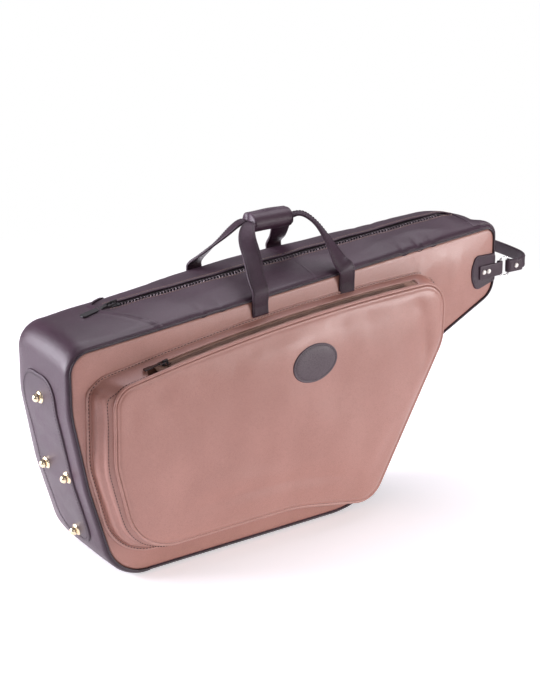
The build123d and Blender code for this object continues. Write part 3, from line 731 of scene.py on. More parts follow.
materials = {
    "rose": leather("roseLeather", roseLook),
    "dark": leather("darkLeather", darkLook),
    "trim": leather("trimLeather", trimLook),
    "welt": leather("weltLeather", weltLook),
    "patch": leather("patchLeather", patchLook),
    "tape": woven("zipTape", rgb(0.060, 0.044, 0.055), rgb(0.018, 0.012, 0.017), 0.0016),
    "pocketTape": woven("pocketZipTape", rgb(0.62, 0.38, 0.28), rgb(0.34, 0.190, 0.140), 0.0026),
    "coil": woven("zipCoil", rgb(0.52, 0.310, 0.230), rgb(0.27, 0.150, 0.112), 0.0012, 0.5),
    "teeth": metal("zipTeeth", rgb(0.30, 0.25, 0.27), rgb(0.12, 0.09, 0.10), 0.30),
    "slider": enamel("sliderEnamel", rgb(0.012, 0.010, 0.012), 0.22),
    "brass": metal("footBrass", rgb(0.93, 0.80, 0.56), rgb(0.72, 0.58, 0.36), 0.20),
    "nickel": metal("fittingNickel", rgb(0.74, 0.73, 0.72), rgb(0.52, 0.51, 0.50), 0.22),
    "rivet": metal("rivetCap", rgb(0.90, 0.86, 0.80), rgb(0.72, 0.68, 0.62), 0.30, 0.5),
    "plush": plush("liningPlush", rgb(0.060, 0.034, 0.045), rgb(0.018, 0.009, 0.013)),
    "foam": matt("wallFoam", rgb(0.10, 0.10, 0.105), rgb(0.045, 0.045, 0.048), 500.0, 0.0006),
    "board": matt("stiffBoard", rgb(0.10, 0.085, 0.075), rgb(0.06, 0.05, 0.045), 220.0, 0.0002, 0.6),
    "hook": matt("hookStrip", rgb(0.035, 0.032, 0.036), rgb(0.010, 0.009, 0.011), 900.0, 0.0009, 0.7),
    "darkThread": threadLook("darkThread", rgb(0.085, 0.060, 0.072), rgb(0.030, 0.020, 0.026)),
    "roseThread": threadLook("roseThread", rgb(0.070, 0.026, 0.020), rgb(0.030, 0.011, 0.009)),
    "beigeThread": threadLook("beigeThread", rgb(0.60, 0.42, 0.33), rgb(0.36, 0.24, 0.18)),
}
print("materials ready")


def finished(obj, look, body=None, nodes=()):
    # the piece's finish, what it moves with and the solids it stands for
    if not obj.data.materials:
        obj.data.materials.append(materials[look])
    if body:
        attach(obj, body)
    if nodes:
        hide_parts(*nodes)
    return obj


def sewn(name, lines, look, body=None, scale=1.0):
    # rows of stitches in a thread, finished
    return finished(stitches(name, lines, materials[look], scale), look, body)


def shell(name, outer, inner, faces, look, bevel=0.0):
    # closed wall between two skins of the same pattern
    outer, inner = np.reshape(outer, (-1, 3)), np.reshape(inner, (-1, 3))
    count = len(outer)
    directed = {(a, b): True for face in faces for a, b in zip(face, face[1:] + face[:1])}
    rim = [(b, a, a + count, b + count) for a, b in directed if (b, a) not in directed]
    every = list(faces) + [tuple(i + count for i in reversed(face)) for face in faces] + rim
    obj = addMesh(name, np.concatenate([outer, inner]), every, materials[look])
    worked(obj, dropLoose, turnOut)
    return applied(softened(obj, bevel, 2, 50)) if bevel else obj


def gridNormals(grid, outward):
    n = np.cross(np.gradient(grid, axis=0), np.gradient(grid, axis=1))
    n /= np.maximum(np.linalg.norm(n, axis=2), 1e-12)[..., None]
    return n * np.sign((n * outward).sum(2))[..., None]


# Bag shell

corners2d = [corner[:3] for corner in bag["corners"]]
seamLoop, seamCounts = roundedLoop(corners2d, bag["spacing"])
crestLoop, _ = roundedLoop([(x, z + rise, r) for x, z, r, rise in bag["corners"]], counts=seamCounts)
seamOut = outwardNormals(seamLoop)
crestOut = outwardNormals(crestLoop)

panelLook = {
    "inset": 0.0056, "puff": 0.0042, "reach": 0.055, "roll": 0.0026, "sink": 0.0022, "wall": 0.0090,
    "grid": 0.0085, "wave": 0.0017, "insets": (0.0, 0.0008, 0.0018, 0.0032, 0.0060, 0.011, 0.018),
    "folds": [  # x, z to x, z, half width, height
        (0.62, 0.372, 0.55, 0.300, 0.010, 0.0020), (0.66, 0.360, 0.64, 0.290, 0.008, 0.0022),
        (0.10, 0.290, 0.05, 0.180, 0.012, 0.0010), (0.56, 0.335, 0.60, 0.230, 0.012, 0.0012),
        (0.50, 0.030, 0.60, 0.210, 0.010, -0.0012), (0.25, 0.340, 0.31, 0.352, 0.007, 0.0014),
        (0.575, 0.378, 0.570, 0.338, 0.004, -0.0010), (0.600, 0.380, 0.596, 0.334, 0.005, -0.0012),
        (0.628, 0.382, 0.620, 0.330, 0.005, 0.0012), (0.12, 0.318, 0.28, 0.350, 0.012, 0.0016),
    ],
}
lining = {  # drawn in towards its middle, so that it stays clear of the seams
    "gap": 0.0104, "ripple": 0.0006, "wall": 0.0014, "middle": (0.36, 0.19), "shrink": (0.965, 0.945),
}
welt = {"inset": 0.0050, "out": 0.0006, "radius": 0.0015}


def panelDepth(x, z, away, side):
    # how far the panel's skin stands outside the seam plane
    edge = smooth(away, 0, panelLook["roll"]) * panelLook["sink"] - panelLook["sink"]
    puff = panelLook["puff"] * (1 - np.exp(-away / panelLook["reach"] * 2.2))
    soft = softWaves(x, z, 0.19, 1 if side < 0 else 4) * panelLook["wave"]
    soft += creases(x, z, panelLook["folds"]) * (1 if side < 0 else 0.6)
    return edge + puff + soft * smooth(away, 0.002, 0.03) * (1 - 0.85 * smooth(x, 0.655, 0.695))


def panels():
    loop = (seamLoop - seamOut * panelLook["inset"])[::2]
    flat, faces = filledSheet(loop, panelLook["insets"], panelLook["grid"])
    x, z = flat[:, 0], flat[:, 1]
    away = distanceToLoop(flat, loop)
    (x0, z0), (shrinkX, shrinkZ) = lining["middle"], lining["shrink"]
    for side, name in bothSides:
        skin = spots(x, side * (halfWidth(x) + panelDepth(x, z, away, side)), z)
        back = spots(x, side * (halfWidth(x) - panelLook["wall"]), z)
        obj = shell(name + "Panel", toFrame(skin), toFrame(back), faces, "rose")
        finished(obj, "rose", "case", [name + "_panel_leather", name + "_panel_foam"])
        ripple = lining["ripple"] * smooth(softWaves(x, z, 0.08, 7), -1, 1)
        low = halfWidth(x) - lining["gap"] - ripple
        skin, back = [
            toFrame(spots(x0 + (x - x0) * shrinkX, side * y, z0 + (z - z0) * shrinkZ))
            for y in (low, low - lining["wall"])
        ]
        obj = shell(name + "Lining", skin, back, faces, "plush")
        finished(obj, "plush", "case", [name + "_panel_lining"])


def welts():
    x, z = (seamLoop - seamOut * welt["inset"]).T
    for side, name in bothSides:
        path = toFrame(spots(x, side * (halfWidth(x) + welt["out"]), z))
        obj = tube(name + "Welt", path, welt["radius"], materials["welt"], closed=True, sides=10)
        finished(obj, "welt", "case", [name + "_welt"])


panels()
welts()
print("panels ready")

gussetLook = {
    "rollInset": 0.0046, "rollWidth": 0.0070, "columns": 26, "wall": 0.0019, "wave": 0.0019,
    "diagonal": (0.150, 0.088, 0.100, 0.020),  # the bell end piece's turned edge over the lips: x, y to x, y
    "turnedEdge": (0.0026, -0.003, 0.0032),  # its bulge: height, place, half width
    "neckEdge": 0.694, "bellLift": 0.0010, "neckLift": 0.0006, "topRows": 26,
    "bellTo": 0.03, "baseFrom": 0.02, "baseTo": 0.86, "neckFrom": 0.82,  # shares of a straight run
    "folds": [(0.56, -0.03, 0.66, -0.055, 0.008, 0.0014), (0.60, 0.03, 0.67, -0.02, 0.007, -0.0012),
              (0.49, -0.060, 0.56, -0.030, 0.008, 0.0012), (0.18, -0.07, 0.30, -0.035, 0.012, 0.0010)],
}


def acrossColumns():
    # columns across the gusset: share of the half width, then the roll at a seam: its inset and distance
    turns = np.radians([90, 72, 54, 36, 18])
    a, b = gussetLook["rollInset"], gussetLook["rollWidth"]
    roll = [(a + 0.0010, 0.0026)] + [(a * (1 - math.cos(t)), b * (1 - math.sin(t))) for t in turns]
    left, right = [(-1.0, *step) for step in roll], [(1.0, *step) for step in reversed(roll)]
    return left + [(v, 0.0, 0.0) for v in np.linspace(-1.0, 1.0, gussetLook["columns"])[1:-1]] + right


def gussetWave(x, y, z):
    top = smooth(z - seamHeight(x), -0.03, 0.0)
    calm = 1 - smooth(0.10 - x, 0, 0.04) * (1 - top)  # flat where the foot plate lies
    soft = softWaves(x + z, y, 0.13, 2) * gussetLook["wave"] * (0.35 + 0.65 * calm)
    return soft * 0.8 + creases(x, y, gussetLook["folds"]) * top


def gussetSkin(xz, out, columns, offset=0.0, wave=1.0):
    # xz and out: rows x 2 on the seam and crest lines, for each column when they differ
    grid = np.zeros((len(xz[0]), len(columns), 3))
    normal = np.zeros_like(grid)
    for j, (v, inset, s) in enumerate(columns):
        line = xz[0] * v * v + xz[1] * (1 - v * v)
        face = out[0] * v * v + out[1] * (1 - v * v)
        face = face / np.linalg.norm(face, axis=1)[:, None]
        y = v * halfWidth(line[:, 0]) - math.copysign(s, v) * (1 if s else 0)
        lift = offset - inset
        if wave:
            lift = lift + gussetWave(line[:, 0], y, line[:, 1]) * wave * (1 - abs(v) ** 8)
        spot = line + face * np.reshape(lift, (-1, 1))
        grid[:, j] = np.stack([spot[:, 0], y, spot[:, 1]], axis=1)
        normal[:, j] = np.stack([face[:, 0], np.zeros(len(face)), face[:, 1]], axis=1)
    return grid, normal


def topLine(x):
    seam = np.stack([x, seamHeight(x)], axis=1)
    crest = np.stack([x, crestHeight(x)], axis=1)
    up = np.stack([np.full_like(x, -0.065), np.ones_like(x)], axis=1)
    return (seam, crest), (up, up)


def topHeight(x, y):
    v = np.asarray(y) / halfWidth(np.asarray(x))
    return seamHeight(x) * v * v + crestHeight(x) * (1 - v * v)


def loopRange(start, end):
    return [i % len(seamLoop) for i in range(start, end if end > start else end + len(seamLoop))]


starts = np.concatenate([[0], np.cumsum(seamCounts)])  # where each arc and each run of the outline begins


def runIndex(corner, share):
    # a point on the straight run after a corner
    low, high = starts[2 * corner + 1], starts[2 * corner + 2]
    return int(low + (high - low) * share)


def rolledShell(name, grid, normal, look, wall, nodes):
    back = grid - gridNormals(grid, normal) * wall
    obj = shell(name, toFrame(grid), toFrame(back), gridFaces(*grid.shape[:2]), look, 0.0004)
    return finished(obj, look, "case", nodes)


def around(rows):
    return (seamLoop[rows], crestLoop[rows]), (seamOut[rows], crestOut[rows])


def gussets():
    columns = acrossColumns()
    sizes = gussetLook
    # bell end: from the turned diagonal edge over the top and down to the toe
    rows = loopRange(starts[10], starts[16]) + list(range(0, runIndex(0, sizes["bellTo"])))
    grid, normal = gussetSkin(*around(rows), columns, sizes["bellLift"])
    x0 = seamLoop[rows[0]][0]
    x1, y1, x2, y2 = sizes["diagonal"]
    height, place, width = sizes["turnedEdge"]
    topGrid = np.zeros((sizes["topRows"], len(columns), 3))
    topNormal = np.zeros_like(topGrid)
    for j, (v, inset, s) in enumerate(columns):
        guess = 0.12
        for _ in range(4):
            y = abs(v * halfWidth(guess)) - s
            guess = x2 + (x1 - x2) * np.clip((y - y2) / (y1 - y2), 0, 1.02)
        xs = np.linspace(guess, x0, sizes["topRows"] + 1)[:-1]
        strip, face = gussetSkin(*topLine(xs), [(v, inset, s)], sizes["bellLift"])
        topGrid[:, j] = strip[:, 0]
        topGrid[:, j, 2] += height * ridge(xs - guess, place, width)
        topNormal[:, j] = face[:, 0]
    grid, normal = np.concatenate([topGrid, grid]), np.concatenate([topNormal, normal])
    rolledShell("bellGusset", grid, normal, "dark", sizes["wall"], ["bell_gusset"])
    # base, from the toe to the neck's underside
    rows = loopRange(runIndex(0, sizes["baseFrom"]), runIndex(2, sizes["baseTo"]))
    grid, normal = gussetSkin(*around(rows), columns)
    rolledShell("baseGusset", grid, normal, "dark", sizes["wall"], ["base_gusset"])
    # neck end, round to the edge over the lips
    rows = loopRange(runIndex(2, sizes["neckFrom"]), starts[9])
    grid, normal = gussetSkin(*around(rows), columns, sizes["neckLift"])
    xs = np.linspace(seamLoop[rows[-1]][0], sizes["neckEdge"], 6)[1:]
    strip, face = gussetSkin(*topLine(xs), columns, sizes["neckLift"])
    grid, normal = np.concatenate([grid, strip]), np.concatenate([normal, face])
    rolledShell("neckGusset", grid, normal, "dark", sizes["wall"], ["neck_gusset"])
    # padding and lining behind the leather, open at the mouth
    inner = [(v, 0.0, 0.0) for v in np.linspace(-0.86, 0.86, 12)]
    rows = loopRange(starts[10] - 4, starts[9])
    for name, offset, wall, look, node in (
        ("gussetPadding", -0.0024, 0.0072, "foam", "gusset_foam"),
        ("gussetLining", -0.0104, 0.0014, "plush", "gusset_lining"),
    ):
        grid, normal = gussetSkin(*around(rows), inner, offset, 0)
        parts = [rolledShell(name + "Round", grid, normal, look, wall, [])]
        for side, end in ((-1, "Front"), (1, "Rear")):
            edge = [(v, 0.0, 0.0) for v in np.linspace(side * 0.72, side * 0.86, 4)]
            xs = np.linspace(seamLoop[rows[0]][0], seamLoop[rows[-1]][0], 60)
            strip, face = gussetSkin(*topLine(xs), edge, offset, 0)
            parts.append(rolledShell(name + end, strip, face, look, wall, []))
        for part in parts:
            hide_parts(node)


gussets()
print("gussets ready")

# Lips: the two leather strips either side of the zip, in a bell half and a neck half

lipLook = {
    "slotHalf": 0.0085, "slotStart": 0.1095, "slotEnd": 0.6900, "middle": 0.405, "wall": 0.0019,
    "hem": 0.0032, "stitchInset": 0.0040, "rows": 84, "columns": 12, "even": (0.122, 0.680),
    "stitched": {"Bell": (0.112, 0.700), "Neck": (0.106, 0.700)},
    "puckerWidth": 0.0045, "puckerReach": 0.014,
    "puckers": [(0.562, 0.0022), (0.590, 0.0030), (0.615, 0.0018), (0.215, 0.0016), (0.246, 0.0013)],
}


def slotEdge(x):
    half = lipLook["slotHalf"]
    fromStart = np.clip(x - lipLook["slotStart"], 0, half)
    fromEnd = np.clip(lipLook["slotEnd"] - x, 0, half)
    reach = np.minimum(fromStart, fromEnd)
    return np.sqrt(np.maximum(half**2 - (half - reach) ** 2, 0)) + 0.0001


halves = {
    "Bell": ((0.096, lipLook["middle"]), (-0.156, 0.024)),
    "Neck": ((lipLook["middle"], 0.7075), (0.386, 0.206)),
}


def bent(obj, half):
    start, end = halves[half][1]
    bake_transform(obj)
    return obj


def lipRows(half, x0, x1):
    even0, even1 = lipLook["even"]
    if half == "Bell":
        return np.concatenate([np.linspace(x0, even0, 18)[:-1], np.linspace(even0, x1, lipLook["rows"])])
    return np.concatenate([np.linspace(x0, even1, lipLook["rows"]), np.linspace(even1, x1, 16)[1:]])


def lipGrid(side, xs):
    # rows along the zip, columns from the folded edge at the slot out to the roll at the seam
    edge, wide, hem = slotEdge(xs), halfWidth(xs), lipLook["hem"]
    a, b = gussetLook["rollInset"], gussetLook["rollWidth"]
    columns = []
    for t in np.radians([170, 130, 90, 50, 20]):
        columns.append((edge + hem / 2 * (1 - math.sin(t)), -0.0016 + 0.0016 * math.cos(t)))
    for share in np.linspace(0.03, 0.995, lipLook["columns"]):
        columns.append((edge + hem / 2 + (wide - b - edge - hem / 2) * share, 0.0))
    for t in np.radians([18, 36, 54, 72, 90]):
        columns.append((wide - b * (1 - math.sin(t)), -a * (1 - math.cos(t))))
    columns.append((wide - 0.0026, -a - 0.0010))
    grid = np.zeros((len(xs), len(columns), 3))
    for j, (y, drop) in enumerate(columns):
        seat = np.minimum(wide, y) * side
        z = topHeight(xs, seat) + drop
        wave = gussetWave(xs, seat, z) * (1 - np.clip(y / wide, 0, 1) ** 8)
        flutter = 0.0009 * ridge(y, edge, 0.020) * softWaves(xs, y * 0 + side, 0.055, 5)
        z = z + wave * smooth(y - edge, 0, 0.02) + flutter
        pucker = sum(h * ridge(xs, at, lipLook["puckerWidth"]) for at, h in lipLook["puckers"])
        z = z - (0.35 if side > 0 else 1.0) * pucker * ridge(wide, y, lipLook["puckerReach"])
        grid[:, j] = spots(xs, seat, z)
    return grid


def lips():
    for side, name in bothSides:
        for half, ((x0, x1), _) in halves.items():
            xs = lipRows(half, x0, x1)
            grid = lipGrid(side, xs)
            up = np.zeros_like(grid)
            up[..., 2] = 1
            up[:, :, 1] = side * 0.3
            up[:, :3, 1] = -side * 2
            inside = grid - gridNormals(grid, up) * lipLook["wall"]
            faces = gridFaces(*grid.shape[:2])
            obj = shell(f"{name}Lip{half}", toFrame(grid), toFrame(inside), faces, "dark", 0.0003)
            surface = surfaceOf(obj)
            finished(obj, "dark", None, [name + "_lip"])
            low, high = lipLook["stitched"][half]
            run = xs[(xs > low) & (xs < high)]
            line = toFrame(spots(run, side * (slotEdge(run) + lipLook["stitchInset"]), 0.45))
            seam = dropped(line, surface, (0, 0, -1), 0.1)
            thread = stitches(f"{name}LipStitches{half}", [seam], materials["beigeThread"], 0.9)
            bent(obj, half)
            finished(thread, "beigeThread")
            bent(thread, half)


lips()
print("lips ready")

# Main zip

zipLook = {
    "drop": 0.0038, "toothPitch": 0.0050, "toothWidth": 0.0019, "reach": 0.0037, "height": 0.0026,
    "rowGap": 0.0007, "tapeWidth": 0.0116, "tapeThick": 0.0008, "start": 0.1343, "end": 0.6757,
    # half a tooth from the tape inwards: reach, share of the width
    "tooth": [(0.0014, 0.85), (0.0002, 1.0), (-0.0012, 0.72), (-0.0022, 0.74), (-0.0031, 1.0),
              (-0.0037, 0.62)],
    "endWidth": 0.031, "ends": {"bell": (0.1035, 0.1338), "neck": (0.6762, 0.7040)},
}


def zipLine(xs):
    return crestHeight(np.asarray(xs)) - zipLook["drop"]


def mainZip():
    inner = zipLook["rowGap"] + zipLook["reach"]
    pitch, start, end = zipLook["toothPitch"], zipLook["start"], zipLook["end"]
    for side, name in bothSides:
        for half, ((x0, x1), _) in halves.items():
            low, high = max(x0, start), min(x1, end)
            xs = np.linspace(low, high, 70)
            ys = np.linspace(inner, inner + zipLook["tapeWidth"], 5)
            grid = np.zeros((70, 5, 3))
            for j, y in enumerate(ys):
                ripple = 0.0003 * np.sin(xs * 240 + side) * (j / 4)
                grid[:, j] = spots(xs, side * y, zipLine(xs) + ripple)
            bent(tapeShell(f"{name}ZipTape{half}", grid, None, name + "_zip_tape"), half)
            points, faces = [], []
            for k in range(int((end - start) / pitch) - 1):
                x = start + pitch * (0.5 if side < 0 else 1.0) + k * pitch
                if low + 0.001 <= x < high - 0.0005:
                    addTooth(points, faces, x, side, inner)
            teeth = addMesh(f"{name}ZipTeeth{half}", toFrame(points), faces, materials["teeth"])
            finished(worked(teeth, turnOut), "teeth", None, [name + "_zip_teeth"])
            bent(teeth, half)


def tapeShell(name, grid, body, node):
    below = grid - np.array([0, 0, zipLook["tapeThick"]])
    obj = shell(name, toFrame(grid), toFrame(below), gridFaces(*grid.shape[:2]), "tape")
    return finished(obj, "tape", body, [node])


def addTooth(points, faces, x, side, root):
    # a cast tooth: a clamp on the tape, a waist and a rounded head
    z = float(zipLine(x)) - zipLook["tapeThick"] / 2
    height, width = zipLook["height"] / 2, zipLook["toothWidth"] / 2
    first, count = len(points), len(zipLook["tooth"])
    for reach, share in zipLook["tooth"]:
        for edge in (-1, 1):
            for level in (-1, -0.6, 0.6, 1):
                narrow = 0.72 if abs(level) == 1 else 1.0
                up = z - edge * level * height
                points.append((x + edge * width * share * narrow, side * (root + reach), up))
    for r in range(count - 1):
        for q in range(8):
            a, b = first + r * 8 + q, first + r * 8 + (q + 1) % 8
            faces.append((a, b, b + 8, a + 8))
    for ring in (0, count - 1):
        faces.append(tuple(first + ring * 8 + q for q in range(8)))


def zipEnds():
    # fixed ends of the tape under the leather at both ends of the slot
    for name, (x0, x1) in zipLook["ends"].items():
        xs = np.linspace(x0, x1, 14)
        ys = np.linspace(-zipLook["endWidth"] / 2, zipLook["endWidth"] / 2, 14)
        grid = np.zeros((14, 14, 3))
        for j, y in enumerate(ys):
            dip = 0.0006 * math.exp(-((y / 0.002) ** 2))
            grid[:, j] = spots(xs, y, zipLine(xs) - dip)
        tapeShell(name + "ZipEnd", grid, "case", name + "_zip_end")


mainZip()
zipEnds()
print("main zip ready")


# Foot plate, feet and washers on the bell end

plateLook = {
    "middle": 0.168, "length": 0.252, "across": -0.018, "width": 0.094, "corner": 0.034, "thick": 0.0024,
    "grid": 0.0065, "insets": (0.0, 0.0003, 0.0008, 0.0016, 0.0030, 0.0060),
    "edge": 0.0016, "channel": 0.0048, "channelWidth": 0.0013, "channelDepth": 0.0007,
    "board": (0.0030, 0.0058),  # the stiffening board's faces, behind the leather
    "feet": [(0.056, -0.023), (0.150, -0.052), (0.152, 0.006), (0.261, -0.023)],  # z, y
}
footLook = {  # radius, height over the plate
    "ball": 0.0060, "ballMiddle": 0.0033, "ballLift": 0.0013, "stem": [(0.0, -0.0022), (0.0036, -0.0022)],
    "dish": [(0.0034, -0.0010), (0.0088, -0.0010), (0.0091, -0.0004), (0.0089, 0.0004), (0.0082, 0.0013),
             (0.0073, 0.0020), (0.0064, 0.0024), (0.0054, 0.0026), (0.0036, 0.0026)],
    "nut": [(0.0032, -0.0095), (0.0058, -0.0095), (0.0060, -0.0092), (0.0060, -0.0070), (0.0056, -0.0066),
            (0.0032, -0.0066)],
}


def roundedRectangle(width, height, radius, spacing=0.004):
    # loop round a middle at 0, 0
    w, h = width / 2, height / 2
    return roundedLoop([(-w, -h, radius), (w, -h, radius), (w, h, radius), (-w, h, radius)], spacing)[0]


def footPlate():
    look = plateLook

    def seated(points, surface):
        ahead = spots(-0.4, points[:, 0] + look["across"], points[:, 1] + look["middle"])
        return dropped(ahead, surface, (1, 0, 0), 0.3)

    loop = roundedRectangle(look["width"], look["length"], look["corner"])
    flat, faces = filledSheet(loop, look["insets"], look["grid"])
    away = distanceToLoop(flat, loop)
    seat, normal = seated(flat, surfaceOf(bpy.data.objects["bellGusset"]))
    rise = look["thick"] * rounded(away, look["edge"]) * 0.9 + 0.0002
    rise = rise - ridge(away, look["channel"], look["channelWidth"]) * look["channelDepth"]
    rise = rise + 0.0003 * softWaves(flat[:, 0], flat[:, 1], 0.05, 3) * smooth(away, 0, 0.01)
    obj = shell("footPlate", seat + normal * rise[:, None], seat - normal * 0.0004, faces, "trim")
    finished(obj, "trim", "case", ["foot_plate"])
    less = 2 * look["channel"]
    inner = roundedRectangle(look["width"] - less, look["length"] - less, look["corner"] - look["channel"])
    seam = seated(ringed(inner), surfaceOf(obj))
    sewn("footPlateStitches", [seam], "darkThread", "case")
    front, back = [seat - normal * depth for depth in look["board"]]
    board = shell("endBoard", front, back, faces, "board")
    finished(board, "board", "case", ["end_board"])


def feet():
    surface = surfaceOf(bpy.data.objects["footPlate"])
    ball, middle = footLook["ball"], footLook["ballMiddle"]
    turns = np.radians(np.linspace(-48, 90, 15))
    profile = footLook["stem"] + [(ball * math.cos(t), middle + ball * math.sin(t)) for t in turns]
    raised = Matrix.Translation((0, 0, footLook["ballLift"]))
    balls, dishes, nuts = [], [], []
    for i, (z, y) in enumerate(plateLook["feet"]):
        seat, normal = dropped([(-0.4, y, z)], surface, (1, 0, 0), 0.3)
        turn = Vector(normal[0]).to_track_quat("Z", "Y").to_matrix().to_4x4()
        spot = Matrix.Translation(Vector(seat[0])) @ turn
        balls.append(placed(lathe(f"ball{i}", profile, materials["brass"], 40), spot @ raised))
        dishes.append(placed(lathe(f"dish{i}", ringed(footLook["dish"]), materials["brass"], 40), spot))
        nuts.append(placed(lathe(f"nut{i}", ringed(footLook["nut"]), materials["nickel"], 6), spot))
    finished(joined("ballFeet", balls), "brass", "case", ["feet"])
    finished(joined("footDishes", dishes), "brass", "case", ["foot_washers"])
    finished(joined("footNuts", nuts), "nickel", "case", ["foot_nuts"])


footPlate()
feet()
print("bell end ready")

# Pocket

pocket = {
    "corners": [
        (0.088, 0.050, 0.078), (0.350, 0.050, 0.300), (0.486, 0.024, 0.038), (0.610, 0.245, 0.060),
        (0.612, 0.333, 0.038), (0.330, 0.331, 2.876), (0.057, 0.287, 0.028), (0.056, 0.180, 0.100),
    ],
    "depth": 0.030, "slotDepth": 0.019, "slotHalf": 0.006, "from": 0.150, "to": 0.548, "beyond": 0.023,
    "wall": 0.0018, "piping": 0.0022, "bulge": 0.0135, "reach": 0.050, "flange": 0.0065, "grid": 0.0058,
    "insets": (0.0, 0.0003, 0.0008, 0.0016, 0.0026, 0.0036, 0.0048, 0.0070, 0.0105, 0.0150),
    "wallDepths": (0.0008, 0.003, 0.0055, 0.008, 0.0105, 0.013, 0.0155, 0.018, 0.0205, 0.023, 0.0255, 0.028,
                   0.0305),
    "flangeRows": ((1.0, 0.0003), (0.92, 0.0019), (0.5, 0.0024), (0.18, 0.0022)),  # share, depth
    "flare": [(-0.0192, -0.010), (0, -0.010), (0.005, -0.004), (0.005, 0), (0.005, 0.009), (0, 0.009),
              (-0.024, 0.009), (-0.024, 0)],  # how far the base reaches beyond the rim at each corner
    "arcGrowth": 0.009,  # how much larger the top arc is at the base
    "fullness": 0.72, "swell": 0.0016, "foldHeight": 0.0022, "crease": (0.62, 0.10, -0.0034),
    "tape": 0.0008, "ripple": 0.0003, "coil": 0.00105, "coilPitch": 0.0016, "coils": (0.0175, 0.0205),
    "bars": (-0.0185, -0.0155, 0.015),  # bartacks: two before the zip, one after it
    "edge": (0.0012, 0.0015), "seam": (-0.0006, 0.0034, 0.0012), "stand": 0.0021,
    "waves": ((0.23, 9, 0.0032), (0.085, 11, 0.0009)),  # size, seed, height
    "folds": [  # on the face: x, z to x, z, half width, height
        (0.555, 0.335, 0.575, 0.185, 0.009, -0.0026), (0.585, 0.320, 0.592, 0.215, 0.008, 0.0016),
        (0.535, 0.090, 0.600, 0.240, 0.014, 0.0018), (0.150, 0.086, 0.470, 0.070, 0.010, -0.0026),
        (0.130, 0.110, 0.330, 0.105, 0.014, 0.0014), (0.470, 0.080, 0.540, 0.170, 0.018, 0.0016),
        (0.120, 0.300, 0.145, 0.180, 0.022, -0.0012), (0.320, 0.240, 0.430, 0.110, 0.040, 0.0014),
        (0.200, 0.200, 0.300, 0.110, 0.030, -0.0012), (0.430, 0.330, 0.420, 0.285, 0.007, -0.0007),
        (0.405, 0.332, 0.398, 0.296, 0.006, -0.0006), (0.470, 0.334, 0.466, 0.280, 0.008, -0.0007),
        (0.275, 0.325, 0.268, 0.290, 0.006, -0.0006), (0.220, 0.318, 0.216, 0.286, 0.006, -0.0005),
    ],
}
rimLoop, rimCounts = roundedLoop(pocket["corners"], 0.0042)
baseCorners = [
    (x + dx, z + dz, r + (pocket["arcGrowth"] if r > 2 else 0.0))
    for (x, z, r), (dx, dz) in zip(pocket["corners"], pocket["flare"])
]
baseLoop, _ = roundedLoop(baseCorners, counts=rimCounts)
rimOut, baseOut = outwardNormals(rimLoop), outwardNormals(baseLoop)


def facePoint(xz, depth):
    return spots(xz[..., 0], -(halfWidth(xz[..., 0]) + depth), xz[..., 1])


def wallSpot(depth, extra=0.0):
    # the bellows at a depth: straight along the zip, full and round at the bell end and base
    share = np.clip(depth / pocket["depth"], 0, 1)
    straight = smooth(baseOut[:, 1], 0.35, 0.75)  # 1 on the top edge
    curved = 1 - math.sqrt(max(0.0, 1 - share**2))
    full = pocket["fullness"]
    along = straight * share + (1 - straight) * (full * curved + (1 - full) * share)
    xz = baseLoop + (rimLoop - baseLoop) * along[:, None]
    x, z = xz[:, 0], xz[:, 1]
    middle = math.sin(math.pi * share)
    swell = pocket["swell"] * middle * (1 - straight)
    fold = pocket["foldHeight"] * middle * softWaves(x * 1.2, z * 1.2, 0.085, 6) * (1 - straight)
    at, width, height = pocket["crease"]
    crease = height * math.exp(-(((share - at) / width) ** 2)) * smooth(0.14 - x, 0, 0.05) * (1 - straight)
    out = baseOut + (rimOut - baseOut) * along[:, None]
    return xz + out * (swell + fold + crease + extra)[:, None]


